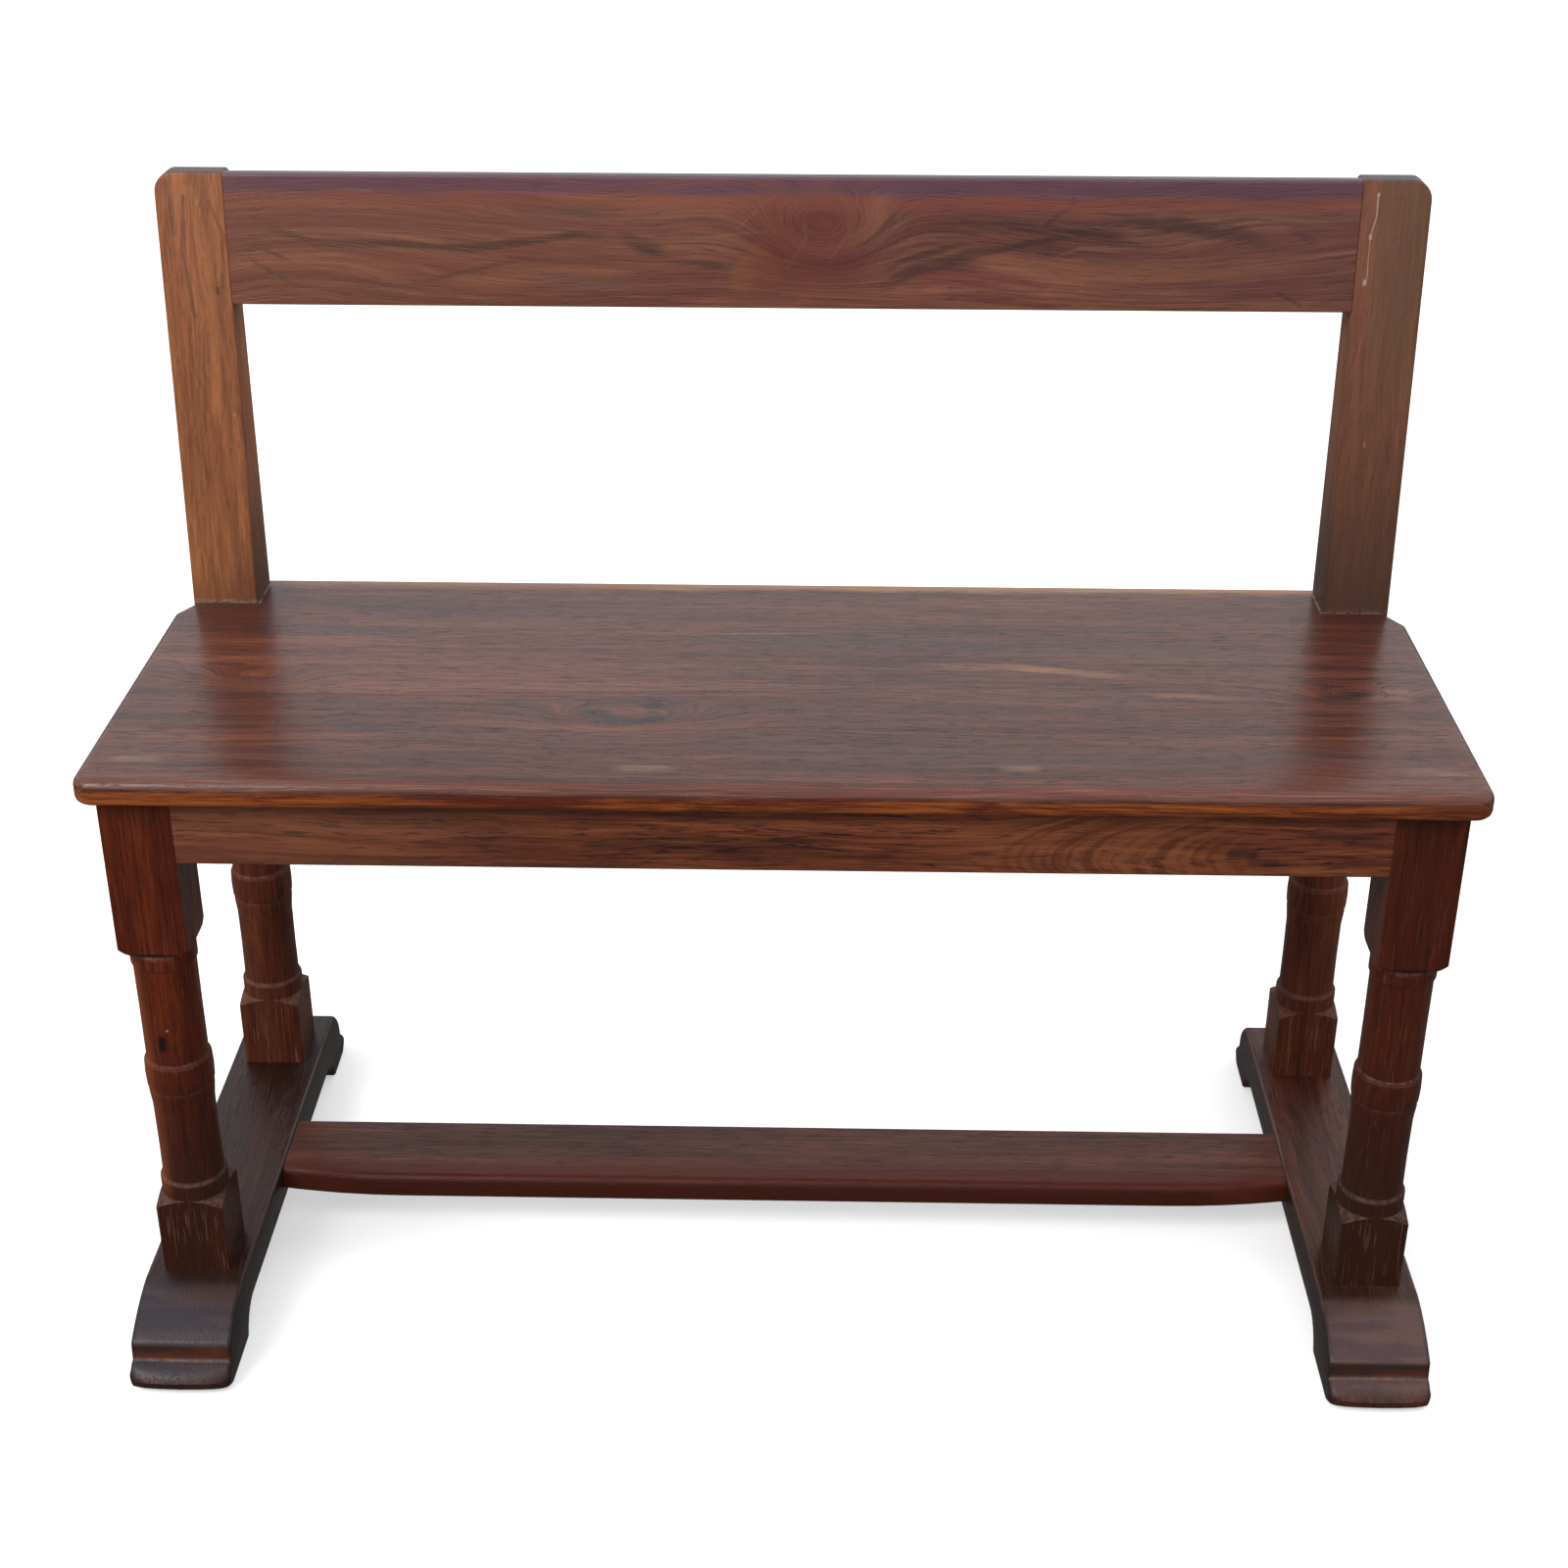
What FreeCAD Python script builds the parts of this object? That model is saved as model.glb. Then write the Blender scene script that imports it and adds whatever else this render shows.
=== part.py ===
import FreeCAD, Part
import os
import re
import Sketcher

# Bench with a low back: turned legs, aprons, two arched runner feet, a flat stretcher, a plank seat
# notched round two raked posts, and a crest rail between them. Millimetres, +X to the right, +Y to
# the back, +Z up. The origin is on the floor, midway between the toes.

doc = FreeCAD.newDocument("bench")
sheet = doc.addObject("Spreadsheet::Sheet", "dims")

# Driving dimensions
SIZES = {
    # seat board
    "seat_width": 900.0,
    "seat_thickness": 18.0,
    "seat_overhang": 36.0,        # each end beyond the legs' axes
    "seat_nose": 10.75,           # front edge ahead of the leg blocks
    "seat_corner": 14.0,          # plan radius of the front corners
    "seat_top_round": 7.0,
    "seat_under_bevel": 4.0,
    "ear_depth": 19.0,            # slanted end of each ear, along Y
    # legs, the same on all four corners
    "leg_section": 46.5,
    "leg_length": 377.0,
    "top_block": 118.0,
    "base_block": 57.0,
    "top_pommel": 6.0,            # how far the turned shoulder climbs the top block's corners
    "base_pommel": 3.5,
    "leg_tenon_diameter": 28.0,
    "leg_tenon_length": 24.0,
    # feet
    "foot_width": 70.0,
    "foot_height": 50.0,
    "foot_length": 438.0,
    "front_leg_set_in": 99.0,     # leg axis behind the front toe's tip
    "rear_leg_set_in": 79.0,
    "front_ramp": 50.0,
    "rear_ramp": 16.0,
    "toe_lip": 17.0,
    "toe_tuck": 17.0,
    "toe_bow": 2.5,
    "toe_corner_x": 11.0,
    "toe_corner_y": 5.5,
    "front_pad": 47.0,
    "rear_pad": 32.0,
    "arch_rise": 20.0,
    "arch_run": 25.0,
    # stretcher
    "stretcher_width": 70.0,
    "stretcher_thickness": 19.0,
    "stretcher_drop": 2.0,        # top face under the feet's top faces
    "stretcher_back": 5.5,        # middle line behind the feet's middle
    "stretcher_round": 6.0,
    "stretcher_tenon_length": 22.0,
    "stretcher_tenon_thickness": 11.0,
    "stretcher_tenon_width": 54.0,
    # aprons
    "apron_height": 47.0,
    "apron_thickness": 20.0,
    "apron_setback": 1.0,
    "apron_round": 1.5,
    "apron_tenon_length": 24.0,
    "apron_tenon_thickness": 9.0,
    "apron_tenon_shoulder": 6.0,
    # back posts
    "post_width": 48.0,
    "post_outset": 2.0,           # post's middle outside the leg's axis
    "post_height": 309.5,         # above the seat
    "post_depth_top": 25.0,
    "post_rake": 25.75,           # front face, over the post's height
    "post_seat_depth": 41.8,
    "post_tongue": 15.75,
    "post_tongue_length": 82.0,
    "post_corner": 14.0,
    "post_back_round": 9.0,       # top edge at the back, in line with the crest rail's
    # crest rail
    "rail_height": 90.0,
    "rail_thickness": 17.0,
    "rail_drop": 0.5,             # top edge under the posts' tops
    "rail_top_round": 8.0,
    "rail_front_round": 2.5,
    "rail_tenon_length": 25.0,
    "rail_tenon_thickness": 8.0,
    "rail_tenon_shoulder": 12.0,
    # pegs
    "peg_diameter": 5.0,
    "apron_peg_inset": 8.0,
    "apron_peg_pitch": 16.0,
    "apron_peg_length": 19.5,
    "rail_peg_inset": 12.0,
    "rail_peg_pitch": 40.0,
    "rail_peg_recess": 3.0,
    # screws and plugs
    "shank_diameter": 4.5,
    "head_diameter": 9.0,
    "head_height": 3.0,
    "seat_screw_length": 36.0,
    "post_screw_length": 33.0,
    "plug_diameter": 12.0,
    "plug_height": 5.0,
    "post_screw_outset": 10.0,
    "post_screw_pitch": 40.0,
    # fits
    "cheek_fit": 0.1,             # mortise cheeks off a tenon's cheeks
    "end_fit": 0.5,               # mortise floor off a tenon's end
    "hole_fit": 0.1,              # hole wall off a peg, plug, shank or round tenon
    "cut_over": 5.0,              # overrun of every cut into open air
}

for row, (alias, length) in enumerate(SIZES.items(), start=1):
    sheet.set(f"A{row}", alias)
    sheet.set(f"B{row}", str(length))
    sheet.setAlias(f"B{row}", alias)
doc.recompute()

# Levels and places that several pieces share
seat_under = "(foot_height + leg_length)"
seat_top = f"({seat_under} + seat_thickness)"
foot_half = "(foot_length / 2)"
leg_x = "(seat_width / 2 - seat_overhang)"
leg_front = f"(front_leg_set_in - {foot_half})"
leg_rear = f"({foot_half} - rear_leg_set_in)"
leg_middle = f"(({leg_front} + {leg_rear}) / 2)"
spacing_x = f"(2 * {leg_x})"
spacing_y = f"({leg_rear} - {leg_front})"
half_leg = "(leg_section / 2)"
post_x = f"({leg_x} + post_outset)"
back_line = f"({leg_rear} + {half_leg} + post_tongue)"
post_front = f"({back_line} - post_seat_depth)"
post_top = f"({seat_top} + post_height)"
rail_top = f"({post_top} - rail_drop)"
rail_under = f"({rail_top} - rail_height)"
apron_middle = f"({seat_under} - apron_height / 2)"
arch_front = f"(toe_tuck + front_pad - {foot_half})"
arch_rear = f"({foot_half} - toe_tuck - rear_pad)"
stretcher_top = "(foot_height - stretcher_drop)"
tenon_set_in = "(apron_thickness / 2 - apron_tenon_thickness / 2)"


def bound(text):
    """The expression with each alias pointing at the spreadsheet."""
    return re.sub(r"[a-z_]+", lambda word: "dims." * (word.group() in SIZES) + word.group(), text)


def value(text):
    return float(sheet.evalExpression(text))


def vector(point):
    return FreeCAD.Vector(value(point[0]), value(point[1]), 0)


def new_body(name):
    body = doc.addObject("PartDesign::Body", name)
    body.Label = name
    return body


def place(thing, x="0", y="0", z="0", axis=(0, 0, 1), turn=0):
    thing.Placement = FreeCAD.Placement(FreeCAD.Vector(), FreeCAD.Rotation(FreeCAD.Vector(*axis), turn))
    for letter, text in zip("xyz", (x, y, z)):
        thing.setExpression(f"Placement.Base.{letter}", bound(text))


def new_sketch(body, name, plane, lift):
    """A sketch on one of the body's own planes, lifted along that plane's normal."""
    support = [feature for feature in body.Origin.OriginFeatures if feature.Role == plane][0]
    sketch = body.newObject("Sketcher::SketchObject", name)
    sketch.AttachmentSupport = [(support, "")]
    sketch.MapMode = "FlatFace"
    sketch.setExpression("AttachmentOffset.Base.z", bound(lift))
    return sketch


def pin_point(sketch, element, end, point):
    """Ties one point of the sketch to its two expressions."""
    for kind, text in zip(("DistanceX", "DistanceY"), point):
        number = sketch.addConstraint(Sketcher.Constraint(kind, -1, 1, element, end, value(text)))
        sketch.setExpression(f"Constraints[{number}]", bound(text))


def through(u, v):
    """Marks the point that an arc passes through, between its two ends."""
    return ("arc", u, v)


def outline(body, name, plane, path, lift="0"):
    """A closed outline: corners joined by lines, or by an arc where a through point lies between."""
    sketch = new_sketch(body, name, plane, lift)
    corners = [step for step in path if step[0] != "arc"]
    middles = {}
    for step in path:
        if step[0] == "arc":
            middles[met] = step[1:]
        else:
            met = corners.index(step)
    ends = []
    for number, corner in enumerate(corners):
        start, stop = vector(corner), vector(corners[(number + 1) % len(corners)])
        if number in middles:
            middle = vector(middles[number])
            left_turn = (middle - start).cross(stop - middle).z > 0
            order = (start, middle, stop) if left_turn else (stop, middle, start)
            element = sketch.addGeometry(Part.Arc(*order), False)
            ends.append((element, 1, 2) if left_turn else (element, 2, 1))
        else:
            element = sketch.addGeometry(Part.LineSegment(start, stop), False)
            ends.append((element, 1, 2))
    for number, (element, first, last) in enumerate(ends):
        following = ends[(number + 1) % len(ends)]
        sketch.addConstraint(Sketcher.Constraint("Coincident", element, last, following[0], following[1]))
    for number, (element, first, last) in enumerate(ends):
        pin_point(sketch, element, first, corners[number])
    for number, middle in middles.items():
        mark = sketch.addGeometry(Part.Point(vector(middle)), True)
        pin_point(sketch, mark, 1, middle)
        sketch.addConstraint(Sketcher.Constraint("PointOnObject", mark, 1, ends[number][0]))
    return sketch


def rectangle(body, name, plane, low, high, lift="0"):
    corners = [low, (high[0], low[1]), high, (low[0], high[1])]
    return outline(body, name, plane, corners, lift)


def circles(body, name, plane, centres, diameter, lift="0"):
    sketch = new_sketch(body, name, plane, lift)
    for centre in centres:
        radius = value(diameter) / 2
        circle = Part.Circle(vector(centre), FreeCAD.Vector(0, 0, 1), radius)
        element = sketch.addGeometry(circle, False)
        pin_point(sketch, element, 3, centre)
        number = sketch.addConstraint(Sketcher.Constraint("Radius", element, radius))
        sketch.setExpression(f"Constraints[{number}]", bound(f"({diameter}) / 2"))
    return sketch


def pad(sketch, length, middle=False, down=False):
    """Material from the sketch: to both sides alike, or along its normal, or against it."""
    feature = sketch.getParent().newObject("PartDesign::Pad", sketch.Name + "_pad")
    feature.Profile = sketch
    feature.Midplane = middle
    feature.Reversed = down
    feature.setExpression("Length", bound(length))
    return feature


def pocket(sketch, length, along=False):
    """A cut from the sketch against its normal, or along it."""
    feature = sketch.getParent().newObject("PartDesign::Pocket", sketch.Name + "_cut")
    feature.Profile = sketch
    feature.Reversed = along
    feature.setExpression("Length", bound(length))
    return feature


def edges_of(feature, wanted):
    """The feature's edges for which wanted(start, end) is true."""
    doc.recompute()
    found = []
    for number, edge in enumerate(feature.Shape.Edges, start=1):
        if len(edge.Vertexes) == 2 and wanted(edge.Vertexes[0].Point, edge.Vertexes[1].Point):
            found.append(f"Edge{number}")
    return found


def fillet(feature, name, radius, wanted):
    edges = edges_of(feature, wanted)
    rounding = feature.getParent().newObject("PartDesign::Fillet", name)
    rounding.Base = (feature, edges)
    rounding.setExpression("Radius", bound(radius))
    return rounding


def chamfer(feature, name, size, wanted):
    edges = edges_of(feature, wanted)
    bevel = feature.getParent().newObject("PartDesign::Chamfer", name)
    bevel.Base = (feature, edges)
    bevel.setExpression("Size", bound(size))
    return bevel


def near(first, second):
    return abs(first - second) < value("cut_over") * near_share


near_share = 0.001


# Seat board

plug_places = [
    (f"(0 - {leg_x})", leg_front, "front_left"),
    (leg_x, leg_front, "front_right"),
]
front_screw_shares = {"front_apron_left": -0.096, "front_apron_right": 0.171}
apron_line = f"({leg_front} - {half_leg} + apron_setback + apron_thickness / 2)"
for where, share in front_screw_shares.items():
    plug_places.append((f"({share} * seat_width)", apron_line, where))


def make_seat():
    body = new_body("seat_board")
    half = "(seat_width / 2)"
    front = f"({leg_front} - {half_leg} - seat_nose)"
    ear = f"({post_front} - ear_depth)"
    outer = f"({post_x} + post_width / 2)"
    inner = f"({post_x} - post_width / 2 - cheek_fit)"
    notch = f"({post_front} - cheek_fit)"
    plan = [
        (f"0 - {half}", front), (half, front), (half, ear), (outer, notch),
        (inner, notch), (inner, back_line), (f"0 - {inner}", back_line), (f"0 - {inner}", notch),
        (f"0 - {outer}", notch), (f"0 - {half}", ear),
    ]
    board = pad(outline(body, "seat_plan", "XY_Plane", plan, seat_under), "seat_thickness")
    edge_x, front_y, ear_y = value(half), value(front), value(ear)
    corners = fillet(board, "seat_corners", "seat_corner", lambda a, b: near(a.x, b.x)
                     and near(abs(a.x), edge_x) and near(a.y, front_y) and near(b.y, front_y))
    notch_y = value(notch)

    def on_rim(level):
        def test(a, b):
            level_edge = near(a.z, level) and near(b.z, level)
            middle_y = (a.y + b.y) / 2
            behind = max(a.y, b.y) > notch_y + value("cheek_fit") or near(middle_y, notch_y)
            return level_edge and not behind
        return test

    top = fillet(corners, "seat_nosing", "seat_top_round", on_rim(value(seat_top)))
    chamfer(top, "seat_under_edge", "seat_under_bevel", on_rim(value(seat_under)))
    centres = [(x, y) for x, y, where in plug_places]
    depth = "(plug_height + head_height)"
    pocket(circles(body, "plug_holes", "XY_Plane", centres, "plug_diameter + 2 * hole_fit",
                   f"{seat_top} + cut_over"), f"{depth} + cut_over")
    pocket(circles(body, "seat_screw_holes", "XY_Plane", centres, "shank_diameter + 2 * hole_fit",
                   f"{seat_top} - {depth} + cut_over"), "seat_thickness + 2 * cut_over")
    place(body)
    return body


# Legs: a square of stock, turned between its two blocks into straight bands. Each pair is a share of
# the section and a share of the turned length, from the base block up.

base_ring_shares = [(0.499, 0.012), (0.499, 0.066), (0.484, 0.080)]
lower_column_shares = [(0.452, 0.080), (0.452, 0.360)]
collar_shares = [(0.484, 0.440), (0.468, 0.450), (0.499, 0.450), (0.499, 0.548), (0.470, 0.566)]
upper_column_shares = [(0.450, 0.566), (0.450, 0.938)]
neck_ring_shares = [(0.478, 0.938), (0.478, 0.990)]
turning_shares = (base_ring_shares + lower_column_shares + collar_shares + upper_column_shares
                  + neck_ring_shares)


def make_leg(name, x, y, turn, long_side, front):
    """One leg; its +X and +Y sides take the aprons before it is turned into its corner."""
    body = new_body(name)
    stock = rectangle(body, name + "_section", "XY_Plane", (f"0 - {half_leg}", f"0 - {half_leg}"),
                      (half_leg, half_leg), "foot_height")
    pad(stock, "leg_length")
    low = "(foot_height + base_block)"
    high = f"({seat_under} - top_block)"
    reach = f"({half_leg} * sqrt(2) + cut_over)"
    corner = f"({half_leg} * sqrt(2))"
    path = [(reach, f"{low} - base_pommel"), (corner, f"{low} - base_pommel")]
    for r_share, z_share in turning_shares:
        path.append((f"{r_share} * leg_section", f"{low} + {z_share} * ({high} - {low})"))
    path += [(half_leg, high), (corner, f"{high} + top_pommel"), (reach, f"{high} + top_pommel")]
    turning = outline(body, name + "_turning", "XZ_Plane", path)
    groove = body.newObject("PartDesign::Groove", name + "_turned")
    groove.Profile = turning
    groove.ReferenceAxis = (turning, ["V_Axis"])
    groove.Angle = 360
    tenon = circles(body, name + "_tenon", "XY_Plane", [("0", "0")], "leg_tenon_diameter", "foot_height")
    pad(tenon, "leg_tenon_length", down=True)
    # apron mortises, one in each inner side, set towards the outer sides
    near_cheek = f"(apron_setback + {tenon_set_in} - {half_leg} - cheek_fit)"
    far_cheek = f"(apron_setback + {tenon_set_in} + apron_tenon_thickness - {half_leg} + cheek_fit)"
    sill = f"({seat_under} - apron_height + apron_tenon_shoulder - cheek_fit)"
    head = f"({seat_under} - apron_tenon_shoulder + cheek_fit)"
    depth = "apron_tenon_length + end_fit + cut_over"
    pocket(rectangle(body, name + "_mortise_x", "YZ_Plane", (near_cheek, sill), (far_cheek, head),
                     f"{half_leg} + cut_over"), depth)
    pocket(rectangle(body, name + "_mortise_y", "XZ_Plane", (near_cheek, sill), (far_cheek, head),
                     f"0 - {half_leg} - cut_over"), depth, along=True)
    # peg holes from the bench's front or back, through the long apron's tenon
    peg_run = f"({half_leg} - apron_peg_inset)"
    pegs = [(peg_run, f"{apron_middle} {sign} apron_peg_pitch / 2") for sign in "-+"]
    hole = "peg_diameter + 2 * hole_fit"
    depth = "apron_peg_length + end_fit + cut_over"
    if long_side == "x":
        pocket(circles(body, name + "_pegs", "XZ_Plane", pegs, hole, f"{half_leg} + cut_over"), depth)
    else:
        pocket(circles(body, name + "_pegs", "YZ_Plane", pegs, hole, f"0 - {half_leg} - cut_over"),
               depth, along=True)
    # pilot hole of the seat screw, or of the post screws
    pilot = "shank_diameter + 2 * hole_fit"
    if front:
        in_leg = "(seat_screw_length + plug_height + end_fit - seat_thickness + cut_over)"
        pocket(circles(body, name + "_seat_pilot", "XY_Plane", [("0", "0")], pilot,
                       f"{seat_under} + cut_over"), in_leg)
    else:
        in_leg = "post_screw_length - post_tongue + end_fit + cut_over"
        places = [("0 - post_screw_outset", height) for height in post_screw_heights]
        if long_side == "x":
            pocket(circles(body, name + "_post_pilots", "XZ_Plane", places, pilot,
                           f"{half_leg} + cut_over"), in_leg)
        else:
            pocket(circles(body, name + "_post_pilots", "YZ_Plane", places, pilot,
                           f"0 - {half_leg} - cut_over"), in_leg, along=True)
    place(body, x, y, turn=turn)
    return body


post_screw_middle_share = 0.5
tongue_foot = f"({seat_under} - post_tongue_length)"
post_screw_heights = [
    f"({seat_under} - {post_screw_middle_share} * post_tongue_length {sign} post_screw_pitch / 2)"
    for sign in "-+"
]


# Feet: runners with an arched underside and a stepped, bowed toe at each end

ramp_middle_shares = (0.62, 0.83)     # along the ramp, of the height
step_height_share = 0.624
riser_shares = (0.08, 0.378)           # along the lip, of the height
lip_shares = ((0.62, 0.328), (1.00, 0.215))
lip_foot_share = 0.11                  # of the height
under_lip_shares = (0.28, 0.056)       # along the tuck, of the height
arch_middle_shares = (0.28, 0.66)      # along the run, of the rise


def toe(ramp, direction):
    """The toe's corners from the ramp's start to the sole, for one end of the foot."""
    tip = f"({direction} * {foot_half})"
    step = f"({tip} - {direction} * toe_lip)"
    lip = [(f"{step} + {direction} * {along} * toe_lip", f"{up} * foot_height") for along, up in lip_shares]
    return [
        (f"{step} - {direction} * {ramp}", "foot_height"),
        through(f"{step} - {direction} * {1 - ramp_middle_shares[0]} * {ramp}",
                f"{ramp_middle_shares[1]} * foot_height"),
        (step, f"{step_height_share} * foot_height"),
        (f"{step} + {direction} * {riser_shares[0]} * toe_lip", f"{riser_shares[1]} * foot_height"),
        through(*lip[0]),
        lip[1],
        (tip, f"{lip_foot_share} * foot_height"),
        through(f"{tip} - {direction} * {under_lip_shares[0]} * toe_tuck",
                f"{under_lip_shares[1]} * foot_height"),
        (f"{tip} - {direction} * toe_tuck", "0"),
    ]


def reverse_path(path):
    return list(reversed(path))


def make_foot(name, side):
    body = new_body(name)
    front, rear = toe("front_ramp", -1), toe("rear_ramp", 1)
    along, up = arch_middle_shares
    path = front + [
        (arch_front, "0"),
        through(f"{arch_front} + {along} * arch_run", f"{up} * arch_rise"),
        (f"{arch_front} + arch_run", "arch_rise"),
        (f"{arch_rear} - arch_run", "arch_rise"),
        through(f"{arch_rear} - {along} * arch_run", f"{up} * arch_rise"),
        (arch_rear, "0"),
    ] + reverse_path(rear)
    pad(outline(body, name + "_side", "YZ_Plane", path), "foot_width", middle=True)
    half = "(foot_width / 2)"
    level = f"{riser_shares[1]} * foot_height"
    for end, direction in (("front", -1), ("rear", 1)):
        tip = f"({direction} * {foot_half})"
        shoulder = f"({tip} - {direction} * toe_bow)"
        corner = f"({shoulder} - {direction} * toe_corner_y)"
        beyond = f"({tip} + {direction} * cut_over)"
        inner = f"({half} - toe_corner_x)"
        plan = [
            (f"0 - {half}", corner),
            through(f"0 - {half} + {corner_bulge_shares[0]} * toe_corner_x",
                    f"{corner} + {direction} * {corner_bulge_shares[1]} * toe_corner_y"),
            (f"0 - {inner}", shoulder),
            through("0", tip),
            (inner, shoulder),
            through(f"{half} - {corner_bulge_shares[0]} * toe_corner_x",
                    f"{corner} + {direction} * {corner_bulge_shares[1]} * toe_corner_y"),
            (half, corner),
            (f"{half} + cut_over", corner),
            (f"{half} + cut_over", beyond),
            (f"0 - {half} - cut_over", beyond),
            (f"0 - {half} - cut_over", corner),
        ]
        pocket(outline(body, f"{name}_{end}_bow", "XY_Plane", plan, level), f"{level} + cut_over")
    # mortises of the legs and the stretcher
    sockets = [("0", leg_front), ("0", leg_rear)]
    pocket(circles(body, name + "_leg_sockets", "XY_Plane", sockets, "leg_tenon_diameter + 2 * hole_fit",
                   "foot_height + cut_over"), "leg_tenon_length + end_fit + cut_over")
    centre = f"({stretcher_top} - stretcher_thickness / 2)"
    cheek = "(stretcher_tenon_thickness / 2 + cheek_fit)"
    edge = "(stretcher_tenon_width / 2 + cheek_fit)"
    mortise = rectangle(body, name + "_mortise", "YZ_Plane",
                        (f"stretcher_back - {edge}", f"{centre} - {cheek}"),
                        (f"stretcher_back + {edge}", f"{centre} + {cheek}"),
                        f"0 - ({side}) * ({half} + cut_over)")
    pocket(mortise, "stretcher_tenon_length + end_fit + cut_over", along=side > 0)
    place(body, f"({side}) * {leg_x}")
    return body


corner_bulge_shares = (0.25, 0.68)


# Stretcher: a flat board with a tenon at each end

def make_stretcher():
    body = new_body("stretcher")
    length = f"({spacing_x} - foot_width)"
    low = ("stretcher_back - stretcher_width / 2", f"{stretcher_top} - stretcher_thickness")
    high = ("stretcher_back + stretcher_width / 2", stretcher_top)
    board = pad(rectangle(body, "stretcher_section", "YZ_Plane", low, high), length, middle=True)
    front, top = value(low[0]), value(high[1])
    fillet(board, "stretcher_nose", "stretcher_round",
           lambda a, b: near(a.y, front) and near(b.y, front) and near(a.z, top) and near(b.z, top))
    middle = f"({stretcher_top} - stretcher_thickness / 2)"
    tenon = rectangle(body, "stretcher_tenons", "YZ_Plane",
                      ("stretcher_back - stretcher_tenon_width / 2",
                       f"{middle} - stretcher_tenon_thickness / 2"),
                      ("stretcher_back + stretcher_tenon_width / 2",
                       f"{middle} + stretcher_tenon_thickness / 2"))
    pad(tenon, f"{length} + 2 * stretcher_tenon_length", middle=True)
    place(body)
    return body


# Aprons: a board with a tenon at each end, its outer face towards -Y before it is turned

def make_apron(name, spacing, x, y, turn, pegged, screw_runs):
    body = new_body(name)
    length = f"({spacing} - leg_section)"
    low = (f"0 - {length} / 2", f"{seat_under} - apron_height")
    high = (f"{length} / 2", seat_under)
    face = f"({half_leg} - apron_setback)"
    board = pad(rectangle(body, name + "_board", "XZ_Plane", low, high, f"{face} - apron_thickness"),
                "apron_thickness")
    bottom = value(low[1])
    fillet(board, name + "_arris", "apron_round",
           lambda a, b: near(a.z, bottom) and near(b.z, bottom) and near(a.y, b.y))
    run = f"({length} / 2 + apron_tenon_length)"
    tenon = rectangle(body, name + "_tenons", "XZ_Plane",
                      (f"0 - {run}", f"{seat_under} - apron_height + apron_tenon_shoulder"),
                      (run, f"{seat_under} - apron_tenon_shoulder"),
                      f"{face} - {tenon_set_in} - apron_tenon_thickness")
    pad(tenon, "apron_tenon_thickness")
    if pegged:
        peg_run = f"({length} / 2 + apron_peg_inset)"
        pegs = [(f"{sign} * {peg_run}", f"{apron_middle} {step} apron_peg_pitch / 2")
                for sign in (-1, 1) for step in "-+"]
        pocket(circles(body, name + "_peg_holes", "XZ_Plane", pegs, "peg_diameter + 2 * hole_fit",
                       f"{face} + cut_over"), "apron_thickness + 2 * cut_over")
    if screw_runs:
        line = f"(apron_thickness / 2 - {face})"
        depth = "(seat_screw_length + plug_height + end_fit - seat_thickness + cut_over)"
        pocket(circles(body, name + "_pilots", "XY_Plane", [(run, line) for run in screw_runs],
                       "shank_diameter + 2 * hole_fit", f"{seat_under} + cut_over"), depth)
    place(body, x, y, turn=turn)
    return body


# Back posts: raked in front, halved over the rear leg, with a tongue down its back

back_top = f"({post_front} + post_rake + post_depth_top)"


def rake_at(level):
    """Y of the posts' front face at a height."""
    return f"({post_front} + post_rake * ({level} - {seat_top}) / post_height)"


def back_at(level):
    """Y of the posts' rear face at a height above the seat."""
    return f"({back_line} + ({back_top} - {back_line}) * ({level} - {seat_top}) / post_height)"


def past_arc(radius):
    """How far the middle of a quarter arc lies inside the square corner that it rounds."""
    return f"({radius} * (1 - sqrt(0.5)))"


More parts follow.
